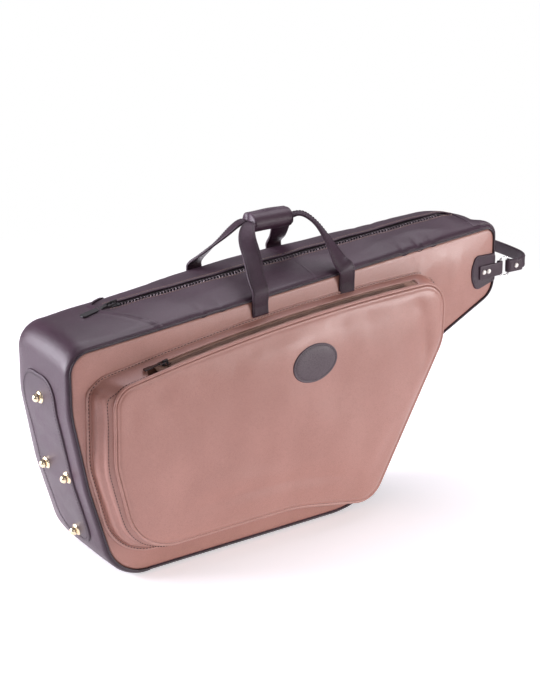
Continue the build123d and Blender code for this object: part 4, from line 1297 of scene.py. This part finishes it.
def pocketWall():
    slotLow = pocket["slotDepth"] - pocket["slotHalf"]
    depths, flangeRows = pocket["wallDepths"], pocket["flangeRows"]
    first, count = len(flangeRows), len(rimLoop)
    outer = np.zeros((count, first + len(depths), 3))
    inner = np.zeros_like(outer)
    top = smooth(baseOut[:, 1], 0.35, 0.75)  # 1 on the top edge
    flange = pocket["flange"] * (1 - top) + 0.0030 * top
    for j, (share, depth) in enumerate(flangeRows):
        reach = (flange * share)[:, None]
        outer[:, j] = facePoint(baseLoop + baseOut * reach, depth + 0.0022)
        inner[:, j] = facePoint(baseLoop + baseOut * (reach - 0.0002), -0.0010)
    for j, depth in enumerate(depths, first):
        outer[:, j] = facePoint(wallSpot(depth), depth + 0.0024 * (1 - depth / depths[-1]))
        inner[:, j] = facePoint(wallSpot(depth, -pocket["wall"]), depth)
    x = baseLoop[:, 0]
    low, high = pocket["from"] - pocket["beyond"], pocket["to"] + pocket["beyond"]
    zipped = (baseOut[:, 1] > 0.7) & (x > low) & (x < high)  # where the zip takes the wall's place
    keep = np.ones((count, outer.shape[1] - 1), bool)
    slotRow = int(np.argmin(np.abs(np.array(depths) - slotLow)))
    keep[:, first + slotRow:] = ~zipped[:, None]
    faces = gridFaces(count, outer.shape[1], True, keep=keep)
    obj = shell("pocketWall", toFrame(outer), toFrame(inner), faces, "rose")
    finished(obj, "rose", None, ["pocket_bellows"])
    base = toFrame(ringed(facePoint(baseLoop + baseOut * (flange * 0.45)[:, None], 0.0)))
    seam = dropped(base, surfaceOf(obj), -faceNormal, 0.05)
    sewn("pocketFlangeStitches", [seam], "roseThread", "case", 1.15)
    rim = toFrame(facePoint(wallSpot(0.0262, 0.0004), 0.0266)[~zipped])
    ups = spots(baseOut[:, 0], 0.0, baseOut[:, 1])[~zipped]
    gaps = np.where(np.linalg.norm(np.diff(rim, axis=0), axis=1) > 0.02)[0]
    cut = int(gaps[0]) + 1 if len(gaps) else 0
    seam = np.roll(rim, -cut, axis=0), np.roll(ups, -cut, axis=0)
    sewn("pocketRimStitches", [seam], "roseThread", "pocket_cover")
    low = np.array([-0.290, -0.097, 0.15])
    start, end = low + faceNormal * 0.012, low + faceNormal * 0.0295
    tuple(start)
    tuple(end)
    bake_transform(obj)


def zipArc(xs, depth):
    # top edge of the pocket at a depth
    corner = np.array(pocket["corners"][5][:2])
    back = corner - np.array(pocket["corners"][4][:2])
    ahead = np.array(pocket["corners"][6][:2]) - corner
    back, ahead = back / np.linalg.norm(back), ahead / np.linalg.norm(ahead)
    inward = (ahead - back) / np.linalg.norm(ahead - back)
    half = math.acos(np.clip(back @ ahead, -1, 1)) / 2
    centre = corner + inward * pocket["corners"][5][2] / math.cos(half)
    growth = pocket["arcGrowth"] * (1 - np.asarray(depth) / pocket["depth"])
    radius = pocket["corners"][5][2] + growth - 0.0009
    return centre[1] + np.sqrt(radius**2 - (np.asarray(xs) - centre[0]) ** 2)


def zipStrip(name, x0, x1, depths):
    xs = np.linspace(x0, x1, max(3, int((x1 - x0) / 0.005)))
    outer = np.zeros((len(xs), len(depths), 3))
    for j, depth in enumerate(depths):
        z = zipArc(xs, depth) + pocket["ripple"] * np.sin(xs * 150)
        outer[:, j] = spots(xs, -(halfWidth(xs) + depth), z)
    inner = outer - np.array([0, 0, pocket["tape"]])
    return shell(name, toFrame(outer), toFrame(inner), gridFaces(*outer.shape[:2]), "pocketTape")


def coilRow(name, x0, x1, depth):
    # the wound edge of a tape: a cord with close turns
    xs = np.linspace(x0, x1, 2 * int((x1 - x0) / pocket["coilPitch"]))
    path = spots(xs, -(halfWidth(xs) + depth), zipArc(xs, depth) + 0.0002)
    radius = pocket["coil"] * (1 + 0.16 * np.cos(np.arange(len(xs)) * math.pi))
    return tube(name, toFrame(path), radius, materials["coil"], sides=8)


def pocketZip():
    start, end, beyond = pocket["from"], pocket["to"], pocket["beyond"]
    upper, lower = np.linspace(0.0105, 0.0163, 4), np.linspace(0.0219, 0.0308, 5)
    whole = np.linspace(0.0155, 0.0305, 6)
    for name, x0, x1, depths, body, node in (
        ("pocketTapeUpper", start - beyond, end + beyond, upper, "case", "pocket_zip_tape_upper"),
        ("pocketTapeEndBell", start - beyond, start - 0.0004, whole, "case", "pocket_zip_tape_upper"),
        ("pocketTapeEndNeck", end + 0.0004, end + beyond, whole, "case", "pocket_zip_tape_upper"),
        ("pocketTapeLower", start, end, lower, "pocket_cover", "pocket_zip_tape_lower"),
    ):
        finished(zipStrip(name, x0, x1, depths), "pocketTape", body, [node])
    for name, depth, body, node in (
        ("pocketCoilUpper", pocket["coils"][0], "case", "pocket_zip_coil_upper"),
        ("pocketCoilLower", pocket["coils"][1], "pocket_cover", "pocket_zip_coil_lower"),
    ):
        finished(coilRow(name, start, end, depth), "coil", body, [node])
    bars = []
    depths = np.linspace(0.0135, 0.0275, 12)
    for beside in pocket["bars"]:
        xs = np.full(12, (start if beside < 0 else end) + beside)
        path = spots(xs, -(halfWidth(xs) + depths), zipArc(xs, depths) + 0.0004)
        bars.append((toFrame(path), np.tile([0.0, -0.2, 1.0], (12, 1))))
    sewn("pocketBartacks", bars, "beigeThread", "case", 0.62)


def pocketFaceDepth(x, z, away):
    rim = pocket["depth"] + pocket["stand"]
    height, width = pocket["edge"]
    edge = height * rounded(away, width)
    full = 0.74 + 0.16 * smooth(0.30 - z, 0, 0.22) + 0.20 * smooth(x, 0.34, 0.56)
    side = 0.65 + 0.35 * smooth(x, 0.1, 0.30)
    puff = pocket["bulge"] * full * side * (1 - np.exp(-((away / pocket["reach"]) ** 0.86) * 1.5))
    soft = sum(softWaves(x, z, size, seed) * high for size, seed, high in pocket["waves"])
    soft = soft + creases(x, z, pocket["folds"])
    height, at, width = pocket["seam"]
    seam = height * ridge(away, at, width)
    return rim + edge + puff + seam + soft * smooth(away, 0.003, 0.03)


def pocketFace():
    flat, faces = filledSheet(rimLoop, pocket["insets"], pocket["grid"])
    away = distanceToLoop(flat, rimLoop)
    skin = facePoint(flat, pocketFaceDepth(flat[:, 0], flat[:, 1], away))
    back = facePoint(flat, pocket["depth"] + 0.0003)
    obj = shell("pocketFace", toFrame(skin), toFrame(back), faces, "rose")
    finished(obj, "rose", "pocket_cover", ["pocket_panel"])
    path = toFrame(facePoint(rimLoop + rimOut * 0.0019, pocket["depth"] + 0.0011))
    cord = tube("pocketPiping", path, pocket["piping"], materials["rose"], closed=True)
    finished(cord, "rose", "pocket_cover", ["pocket_piping"])
    path = toFrame(facePoint(rimLoop + rimOut * 0.0002, pocket["depth"] + 0.0019))
    seam = tube("pocketSeam", path, 0.0005, materials["welt"], closed=True, sides=6)
    finished(seam, "welt", "pocket_cover")
    return surfaceOf(obj)


patch = {
    "x": 0.368, "z": 0.264, "length": 0.078, "height": 0.054, "tilt": math.radians(5), "thick": 0.0017,
    "insets": (0.0, 0.0003, 0.0007, 0.0014, 0.0024, 0.0034, 0.0046), "grid": 0.0045, "seam": 0.0034,
}


def ovalPatch(surface):
    turns = np.linspace(0, 2 * math.pi, 72, endpoint=False)
    c, s = math.cos(patch["tilt"]), math.sin(patch["tilt"])

    def oval(inset=0.0):
        width, height = patch["length"] / 2 - inset, patch["height"] / 2 - inset
        return np.stack([width * np.cos(turns), height * np.sin(turns)], axis=1)

    def seated(points, surface):
        x = patch["x"] + points[:, 0] * c - points[:, 1] * s
        z = patch["z"] + points[:, 0] * s + points[:, 1] * c
        return dropped(toFrame(spots(x, -0.2, z)), surface, -faceNormal, 0.1)

    flat, faces = filledSheet(oval(), patch["insets"], patch["grid"])
    away = distanceToLoop(flat, oval())
    seat, normal = seated(flat, surface)
    rise = patch["thick"] * rounded(away, 0.0014) - 0.0007 * ridge(away, patch["seam"], 0.0010)
    rise = rise + 0.0006 * smooth(away, 0.006, 0.016)
    obj = shell("ovalPatch", seat + normal * rise[:, None], seat - normal * 0.0008, faces, "patch")
    finished(obj, "patch", "pocket_cover", ["oval_patch"])
    seam = seated(ringed(oval(patch["seam"])), surfaceOf(obj))
    sewn("patchStitches", [seam], "darkThread", "pocket_cover", 0.8)


pocketWall()
pocketZip()
ovalPatch(pocketFace())
print("pocket ready")


# Handles

handle = {
    "width": 0.026, "thick": 0.0036,
    # x, distance from the seam plane outwards or y, height; the way the face looks; share of the width
    "front": [
        ("panel", 0.3070, 0.0034, -0.0280, (0.0, -1.0, 0.05), 1.0),
        ("panel", 0.3060, 0.0038, -0.0150, (0.0, -1.0, 0.05), 1.0),
        ("panel", 0.3050, 0.0064, -0.0030, (0.0, -1.0, 0.12), 1.0),
        ("panel", 0.3045, 0.0074, 0.0090, (-0.05, -1.0, 0.05), 1.0),
        ("free", 0.3050, -0.0760, 0.3880, (-0.15, -1.0, 0.20), 1.0),
        ("free", 0.3105, -0.0570, 0.4100, (-0.35, -0.90, 0.45), 1.0),
        ("free", 0.3165, -0.0350, 0.4300, (-0.65, -0.55, 0.65), 0.95),
        ("free", 0.3290, -0.0180, 0.4410, (-0.55, -0.25, 0.85), 0.80),
        ("free", 0.3450, -0.0095, 0.4410, (-0.10, -0.10, 1.0), 0.56),
        ("free", 0.3730, -0.0092, 0.4410, (0.0, -0.05, 1.0), 0.54),
        ("free", 0.4000, -0.0095, 0.4430, (0.05, -0.10, 1.0), 0.56),
        ("free", 0.4170, -0.0190, 0.4460, (0.40, -0.25, 0.88), 0.80),
        ("free", 0.4300, -0.0350, 0.4340, (0.70, -0.50, 0.55), 0.95),
        ("free", 0.4385, -0.0540, 0.4120, (0.62, -0.75, 0.35), 1.0),
        ("free", 0.4455, -0.0700, 0.3880, (0.25, -0.95, 0.20), 1.0),
        ("panel", 0.4520, 0.0074, 0.0030, (0.05, -1.0, 0.05), 1.0),
        ("panel", 0.4545, 0.0058, -0.0090, (0.0, -1.0, 0.12), 1.0),
        ("panel", 0.4555, 0.0036, -0.0200, (0.0, -1.0, 0.05), 1.0),
        ("panel", 0.4560, 0.0032, -0.0350, (0.0, -1.0, 0.05), 1.0),
    ],
    "rear": [
        ("panel", 0.3030, 0.0032, -0.0420, (0.0, -1.0, 0.05), 1.0),
        ("panel", 0.3030, 0.0036, -0.0230, (0.0, -1.0, 0.05), 1.0),
        ("panel", 0.3030, 0.0068, -0.0040, (-0.05, -1.0, 0.20), 1.0),
        ("panel", 0.3035, 0.0050, 0.0070, (-0.15, -0.8, 0.55), 1.0),
        ("free", 0.3070, -0.0660, 0.3850, (-0.30, -0.55, 0.80), 1.0),
        ("free", 0.3140, -0.0440, 0.4040, (-0.45, -0.45, 0.80), 1.0),
        ("free", 0.3240, -0.0250, 0.4240, (-0.60, -0.30, 0.75), 0.95),
        ("free", 0.3340, -0.0140, 0.4370, (-0.55, -0.20, 0.85), 0.78),
        ("free", 0.3470, -0.0095, 0.4410, (-0.10, -0.10, 1.0), 0.56),
        ("free", 0.3730, -0.0092, 0.4410, (0.0, -0.05, 1.0), 0.54),
        ("free", 0.3990, -0.0095, 0.4410, (0.05, -0.10, 1.0), 0.56),
        ("free", 0.4110, -0.0170, 0.4400, (0.40, -0.45, 0.80), 0.80),
        ("free", 0.4200, -0.0320, 0.4300, (0.45, -0.70, 0.55), 0.95),
        ("free", 0.4270, -0.0500, 0.4110, (0.35, -0.85, 0.40), 1.0),
        ("free", 0.4320, -0.0660, 0.3900, (0.15, -0.95, 0.25), 1.0),
        ("panel", 0.4340, 0.0074, 0.0040, (0.0, -1.0, 0.05), 1.0),
        ("panel", 0.4345, 0.0058, -0.0090, (0.0, -1.0, 0.12), 1.0),
        ("panel", 0.4350, 0.0036, -0.0220, (0.0, -1.0, 0.05), 1.0),
        ("panel", 0.4350, 0.0032, -0.0420, (0.0, -1.0, 0.05), 1.0),
    ],
    "grip": {"x": 0.373, "z": 0.4400, "length": 0.064, "halfWidth": 0.0176, "halfHeight": 0.0135,
             "gap": 0.0004, "seamHalf": 0.028, "seamDrop": 0.0035},
    "seamInset": 0.0028, "rootInset": 0.004, "roots": (0.039, 0.022),  # sewn box, below the top seam
}
hinge = {"left": np.array([0.024, -0.085732, 0.36745]), "right": np.array([0.166, -0.077832, 0.376699])}


def handlePath(side, name):
    points = []
    for kind, x, a, b, facing, share in handle[name]:
        y, z = (-(halfWidth(x) + a), seamHeight(x) + b) if kind == "panel" else (a, b)
        points.append((x, -side * y, z, facing[0], -side * facing[1], facing[2], share))
    even = smoothPath(points, 170)
    return toFrame(even[:, :3]), even[:, 3:6], even[:, 6] * handle["width"]


def halfOval(side, width, height):
    inner = handle["grip"]["gap"]
    turns = [math.radians(a) for a in np.linspace(-90, 90, 19)]
    return np.array([
        (side * (inner + (width - inner) * math.cos(t) ** 0.85), height * math.sin(t)) for t in turns
    ])


def gripWrap(side, name):
    # half of the leather roll: soft ends, a seam flap on its outer side
    g = handle["grip"]
    xs = np.linspace(-1, 1, 44)
    rings = []
    for s in xs:
        swell = 1 - 0.035 * s * s
        edge = math.sqrt(max(0.0, 1 - (max(0, abs(s) - 0.965) / 0.035) ** 2)) * 0.09 + 0.91
        section = halfOval(side, g["halfWidth"] * swell * edge, g["halfHeight"] * swell * edge)
        angle = np.degrees(np.arctan2(section[:, 1], np.abs(section[:, 0])))
        flap = 0.0011 * smooth(angle, -24, -18) * (1 - smooth(angle, 60, 88) * 0.6)
        dent = 0.0003 * math.sin(s * 4 + side)
        out = section / np.linalg.norm(section, axis=1)[:, None]
        section = section + out * (flap + dent)[:, None] * (1 if abs(s) < 0.97 else 0.4)
        x = g["x"] + s * g["length"] / 2
        rings.append([(x, y if abs(y) > g["gap"] else side * g["gap"], g["z"] + z) for y, z in section])
    grid = toFrame(np.array(rings))
    obj = gridMesh(name + "GripWrap", grid, materials["dark"], closeColumns=True)
    capEnds(obj)
    return obj


def handles():
    across = hinge["right"] - hinge["left"]
    across /= np.linalg.norm(across)
    up = np.array([0.0, 0.0, 1.0]) - across * across[2]
    up /= np.linalg.norm(up)
    g = handle["grip"]
    for side, name in bothSides:
        body = name + "_handle"
        path, facing, wide = handlePath(side, name)
        strap, width, out = ribbon(name + "Strap", path, facing, wide, handle["thick"], materials["trim"])
        lift = out * (handle["thick"] / 2 + 0.0002)
        reach = (wide / 2 - handle["seamInset"])[:, None]
        lines = [(path + width * edge * reach + lift, out) for edge in (-1, 1)]
        thread = stitches(name + "StrapStitches", lines, materials["darkThread"], 0.95)
        base = hinge["left"] * np.array([1, -side, 1])
        finished(strap, "trim", None, [name + "_handle_strap", name + "_strap_roots"])
        finished(thread, "darkThread")
        for obj in (strap, thread):
            start, end = base - up * 0.004, base + up * 0.010
            tuple(start)
            tuple(end)
            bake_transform(obj)
        wrap = gripWrap(side, name)
        finished(wrap, "dark", body, [name + "_grip_wrap"])
        xs = np.linspace(g["x"] - g["seamHalf"], g["x"] + g["seamHalf"], 20)
        line = toFrame(spots(xs, side * 0.06, g["z"] - g["seamDrop"]))
        seam = dropped(line, surfaceOf(wrap), (0, -side, 0), 0.05)
        sewn(name + "GripStitches", [seam], "darkThread", body, 0.9)
    # stitched box where each rear strap is sewn to the panel; the pocket covers the front ones
    boxes = []
    for x in (handle[name][0][1], handle[name][-1][1]):
        z0, z1 = [seamHeight(x) - below for below in handle["roots"]]
        w = handle["width"] / 2 - handle["rootInset"]
        corners = [(x - w, z0), (x + w, z0), (x + w, z1), (x - w, z1), (x - w, z0)]
        flat = evenPath(np.array([(a, side * (halfWidth(a) + 0.025), b) for a, b in corners]), 60)
        boxes.append(dropped(toFrame(flat), surfaceOf(strap), (0, -side, 0), 0.06))
    sewn(name + "RootStitches", boxes, "darkThread", "case", 0.8)


handles()
print("handles ready")

# Neck end: tabs, loops, rivets, rings and the strap between them

neck = {"tabRight": 0.7322, "tabWidth": 0.046, "tabHeight": 0.054, "z": 0.320, "thick": 0.0026,
        "ringX": 0.7435, "ringWire": 0.0015, "ringWidth": 0.016, "ringHeight": 0.028, "strapHeight": 0.018,
        "strapThick": 0.0032, "loopWidth": 0.020, "loopThick": 0.0020, "seam": 0.0036,
        "insets": (0.0, 0.0003, 0.0008, 0.0016, 0.0028, 0.0040), "rivets": (0.014, 0.023),
        "rivetRadius": 0.0036, "rivetHeight": 0.0019}


def domedRivet(name, at, outward):
    radius, height = neck["rivetRadius"], neck["rivetHeight"]
    profile = [(0.0, -0.0006), (radius, -0.0006), (radius, 0.0002)]
    for t in np.radians(np.linspace(12, 90, 8)):
        profile.append((radius * math.cos(t) ** 0.8, height * math.sin(t)))
    turn = Vector(outward).to_track_quat("Z", "Y").to_matrix().to_4x4()
    return placed(lathe(name, profile, materials["rivet"], 24), Matrix.Translation(Vector(at)) @ turn)


def neckEnd():
    right, half = neck["tabRight"], neck["tabHeight"] / 2
    left = right - neck["tabWidth"]
    z = neck["z"]
    corners = [
        (right, z - half * 0.62, 0.004), (right, z + half * 0.9, 0.004), (left + 0.008, z + half, 0.009),
        (left, z + half * 0.35, 0.030), (left, z - half * 0.3, 0.030), (left + 0.010, z - half, 0.010),
    ]
    loop = roundedLoop(corners, 0.0020)[0]
    if np.cross(loop[5] - loop[0], loop[40] - loop[0]) < 0:
        loop = loop[::-1]
    flat, faces = filledSheet(loop, neck["insets"], 0.0040)
    away = distanceToLoop(flat, loop)
    rise = neck["thick"] * rounded(away, 0.0014) + 0.0030 - 0.0006 * ridge(away, neck["seam"], 0.0009)
    inset = ringed(loop - outwardNormals(loop) * neck["seam"])
    ringY = halfWidth(neck["ringX"]) + 0.0025  # distance from the middle
    barX = neck["ringX"] + neck["ringWidth"]
    for side, name in bothSides:
        skin = spots(flat[:, 0], side * (halfWidth(flat[:, 0]) + rise), flat[:, 1])
        back = spots(flat[:, 0], side * (halfWidth(flat[:, 0]) + 0.0008), flat[:, 1])
        tab = shell(name + "Tab", toFrame(skin), toFrame(back), faces, "trim")
        finished(tab, "trim", "case", [name + "_tab"])
        line = toFrame(spots(inset[:, 0], side * 0.12, inset[:, 1]))
        seam = dropped(line, surfaceOf(tab), (0, -side, 0), 0.06)
        sewn(name + "TabStitches", [seam], "darkThread", "case", 0.8)
        # strap folded round the ring's inner bar
        face = halfWidth(right) + 0.0058
        points = [
            (right - 0.031, face + 0.0019), (right - 0.018, face + 0.0010), (right - 0.006, face + 0.0008),
            (right + 0.002, face + 0.0004), (neck["ringX"] - 0.0005, ringY + 0.0031),
            (neck["ringX"] + 0.0027, ringY + 0.0010), (neck["ringX"] + 0.0018, ringY - 0.0026),
            (neck["ringX"] - 0.0030, ringY - 0.0030),
        ]
        path = smoothPath([(x, y * side, z) for x, y in points], 40)
        facing = np.cross(np.gradient(path, axis=0), (0, 0, 1.0)) * -side
        wide, thick = neck["loopWidth"], neck["loopThick"]
        band, _, _ = ribbon(name + "Loop", toFrame(path), facing, wide, thick, materials["trim"], 0.0002)
        finished(band, "trim", "case", [name + "_tab_loop"])
        heads = []
        surface = surfaceOf(band)
        for i, back in enumerate(neck["rivets"]):
            spot = (right - back, side * 0.12, z)
            seat, normal = dropped(toFrame([spot]), surface, (0, -side, 0), 0.06)
            heads.append(domedRivet(f"head{i}", seat[0], normal[0]))
        finished(joined(name + "TabRivets", heads), "rivet", "case", [name + "_tab_rivets"])
        outline = roundedRectangle(neck["ringWidth"], neck["ringHeight"], 0.005, 0.0012)
        middle = neck["ringX"] + neck["ringWidth"] / 2
        path = toFrame(spots(middle + outline[:, 0], side * ringY, z + outline[:, 1]))
        ring = tube(name + "Ring", path, neck["ringWire"], materials["nickel"], closed=True, sides=14)
        finished(ring, "nickel", name + "_ring", [name + "_ring"])
    # end strap, folded round both outer bars
    turn, reach, wide, thick = 0.0035, bag["length"] + 0.068, neck["strapHeight"], neck["strapThick"]
    fold = ringY + turn - thick - 0.0002
    halfLoop = [
        (barX + 0.0155, fold), (barX + 0.009, fold), (barX + 0.003, ringY - turn + 0.0006),
        (barX - 0.0010, ringY - turn + 0.0004), (barX - turn, ringY), (barX - 0.0010, ringY + turn),
        (barX + 0.005, ringY + turn), (barX + 0.022, ringY + turn - 0.0004),
        (reach - 0.024, ringY + turn - 0.004), (reach - 0.010, ringY - 0.008),
        (reach - 0.0020, ringY * 0.58), (reach, ringY * 0.22),
    ]
    points = [(x, -y, z) for x, y in halfLoop] + [(x, y, z) for x, y in reversed(halfLoop)]
    path = smoothPath(points, 170)
    facing = np.cross(np.gradient(path, axis=0), (0, 0, 1.0))
    path = toFrame(path)
    strap, width, out = ribbon("endStrap", path, facing, wide, thick, materials["trim"], 0.0002)
    finished(strap, "trim", "end_strap", ["end_strap"])
    run = slice(34, 136)  # from one ring round to the other
    lift = out[run] * (thick / 2 + 0.0001)
    lines = [(path[run] + width[run] * edge * (wide / 2 - 0.0024) + lift, out[run]) for edge in (-1, 1)]
    sewn("endStrapStitches", lines, "darkThread", "end_strap", 0.85)
    surface = surfaceOf(strap)
    heads = []
    for side in (-1, 1):
        seat, normal = dropped(toFrame([(barX + 0.011, side * 0.12, z)]), surface, (0, -side, 0), 0.06)
        heads.append(domedRivet(f"strapHead{side + 1}", seat[0], normal[0]))
    finished(joined("endStrapRivets", heads), "rivet", "end_strap", ["end_strap_rivets"])


neckEnd()
print("neck end ready")


def dividerPads():
    low, high = [np.array(v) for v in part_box("divider_pads")]
    middle, size = (low + high) / 2, high - low
    loop = roundedRectangle(size[0] - 0.001, size[2] - 0.001, 0.012, 0.006)
    flat, faces = filledSheet(loop, (0.0, 0.0008, 0.0020, 0.0045, 0.010), 0.012)
    away = distanceToLoop(flat, loop)
    rise = 0.0048 * rounded(away, 0.0045) - 0.0006
    rise = rise + 0.0003 * softWaves(flat[:, 0], flat[:, 1], 0.06, 3) * smooth(away, 0, 0.02)
    board = 0.0016  # half the board between the pads
    for side, end in ((-1, "Front"), (1, "Rear")):
        skin = middle + spots(flat[:, 0], side * (board + rise), flat[:, 1])
        back = middle + spots(flat[:, 0], side * board, flat[:, 1])
        obj = shell("dividerPad" + end, skin, back, faces, "plush")
        finished(obj, "plush", "case", ["divider_pads"])


dividerPads()

# CAD pieces that show as they are, the sliders and pulls with softened edges
for node, look, edge in (
    ("main_slider", "slider", 0.0004), ("main_pull", "slider", 0.0004), ("pocket_slider", "slider", 0.0003),
    ("pocket_pull", "slider", 0.0003), ("divider_board", "board", 0.0), ("divider_hook_strips", "hook", 0.0),
):
    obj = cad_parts[node]
    obj.data.materials.clear()
    obj.data.materials.append(materials[look])
    if edge:
        softened(obj, edge, 3, 40)
print("inside and fittings ready")

# Floor, light and camera

studio = {
    "target": (0.08642, 0.0, 0.24799), "turn": 0.57376, "drop": 0.35006, "distance": 3.13576, "lens": 113.79,
    "lights": [  # name, place, aim, width, height, watts, colour
        ("topSoft", (0.60, 0.50, 2.00), (0.05, 0.0, 0.3), 1.8, 1.4, 28, (0.98, 0.91, 1.0)),
        ("leftSoft", (-1.70, 1.00, 0.60), (-0.2, 0.0, 0.22), 1.2, 1.1, 72, (0.94, 0.91, 1.0)),
        ("frontRight", (1.60, -2.20, 1.55), (0.15, 0.0, 0.2), 1.3, 1.3, 6, (1.0, 0.97, 0.96)),
        ("lowRight", (1.78, -1.60, 0.36), (0.25, 0.0, 0.28), 0.9, 0.5, 27, (1.0, 0.96, 0.97)),
        ("frontLeft", (-1.10, -2.70, 1.30), (0.1, 0.0, 0.2), 1.2, 1.0, 9, (1.0, 0.94, 0.90)),
    ],
    "ambient": (0.94, 0.90, 0.97), "ambientStrength": 0.27, "floorGlow": 0.44, "floor": (0.90, 0.89, 0.92),
    "floorFade": (0.75, 1.55),  # distances from the object where the floor melts into the white
}


def setStudio():
    bpy.ops.mesh.primitive_plane_add(size=14, location=(0, 0, 0))
    floor = bpy.context.object
    floor.name = "studioFloor"
    glow = {"Emission Color": (1, 1, 1, 1), "Emission Strength": studio["floorGlow"]}
    made = Shader("studioFloor", {"Specular IOR Level": 0.0, "Roughness": 0.9, **glow})
    cloud = made.noise(made.place(), 0.6, 2.0)
    made.colour(made.blend(cloud * 0.1, (*studio["floor"], 1.0), (0.89, 0.88, 0.91, 1.0)))
    clear = made.add("BsdfTransparent", {}, {"Color": (1, 1, 1, 1)})
    paper = Channel(made, made.surface.outputs[0])
    far = made.near((0.1, 0.0, 0.0), studio["floorFade"][1])
    share = far.between(0.0, 1 - studio["floorFade"][0] / studio["floorFade"][1], 1.0, 0.0)
    mixed = made.add("MixShader", {}, {0: share, 1: paper, 2: clear})
    made.feed(made.nodes["Material Output"].inputs["Surface"], mixed)
    floor.data.materials.append(made.material)
    for name, place, aim, width, height, watts, colour in studio["lights"]:
        data = bpy.data.lights.new(name, "AREA")
        data.shape = "RECTANGLE"
        data.size, data.size_y = width, height
        data.energy, data.color = watts, colour
        lamp = bpy.data.objects.new(name, data)
        bpy.context.scene.collection.objects.link(lamp)
        lamp.location = place
        lamp.rotation_euler = (Vector(aim) - Vector(place)).to_track_quat("-Z", "Y").to_euler()
    world = bpy.data.worlds.new("studio")
    bpy.context.scene.world = world
    world.use_nodes = True
    tree = world.node_tree
    tree.nodes.clear()
    add, link = tree.nodes.new, tree.links.new
    path, near, far = add("ShaderNodeLightPath"), add("ShaderNodeBackground"), add("ShaderNodeBackground")
    far.inputs["Color"].default_value = (1, 1, 1, 1)
    far.inputs["Strength"].default_value = 1.0
    near.inputs["Color"].default_value = (*studio["ambient"], 1.0)
    near.inputs["Strength"].default_value = studio["ambientStrength"]
    mix, out = add("ShaderNodeMixShader"), add("ShaderNodeOutputWorld")
    link(path.outputs["Is Camera Ray"], mix.inputs[0])
    link(near.outputs[0], mix.inputs[1])
    link(far.outputs[0], mix.inputs[2])
    link(mix.outputs[0], out.inputs[0])


def setCamera():
    turn, drop = studio["turn"], studio["drop"]
    forward = Vector((math.sin(turn) * math.cos(drop), math.cos(turn) * math.cos(drop), -math.sin(drop)))
    right = Vector((math.cos(turn), -math.sin(turn), 0))
    up = right.cross(forward)
    data = bpy.data.cameras.new("camera")
    data.sensor_width = data.sensor_height = 36.0
    data.sensor_fit = "AUTO"
    data.lens = studio["lens"]
    camera = bpy.data.objects.new("camera", data)
    bpy.context.scene.collection.objects.link(camera)
    spot = Vector(studio["target"]) - forward * studio["distance"]
    turned = Matrix((right, up, -forward)).transposed().to_4x4()
    camera.matrix_world = Matrix.Translation(spot) @ turned
    bpy.context.scene.camera = camera
    bpy.context.scene.view_settings.view_transform = "Standard"


setStudio()
setCamera()
print("studio ready")
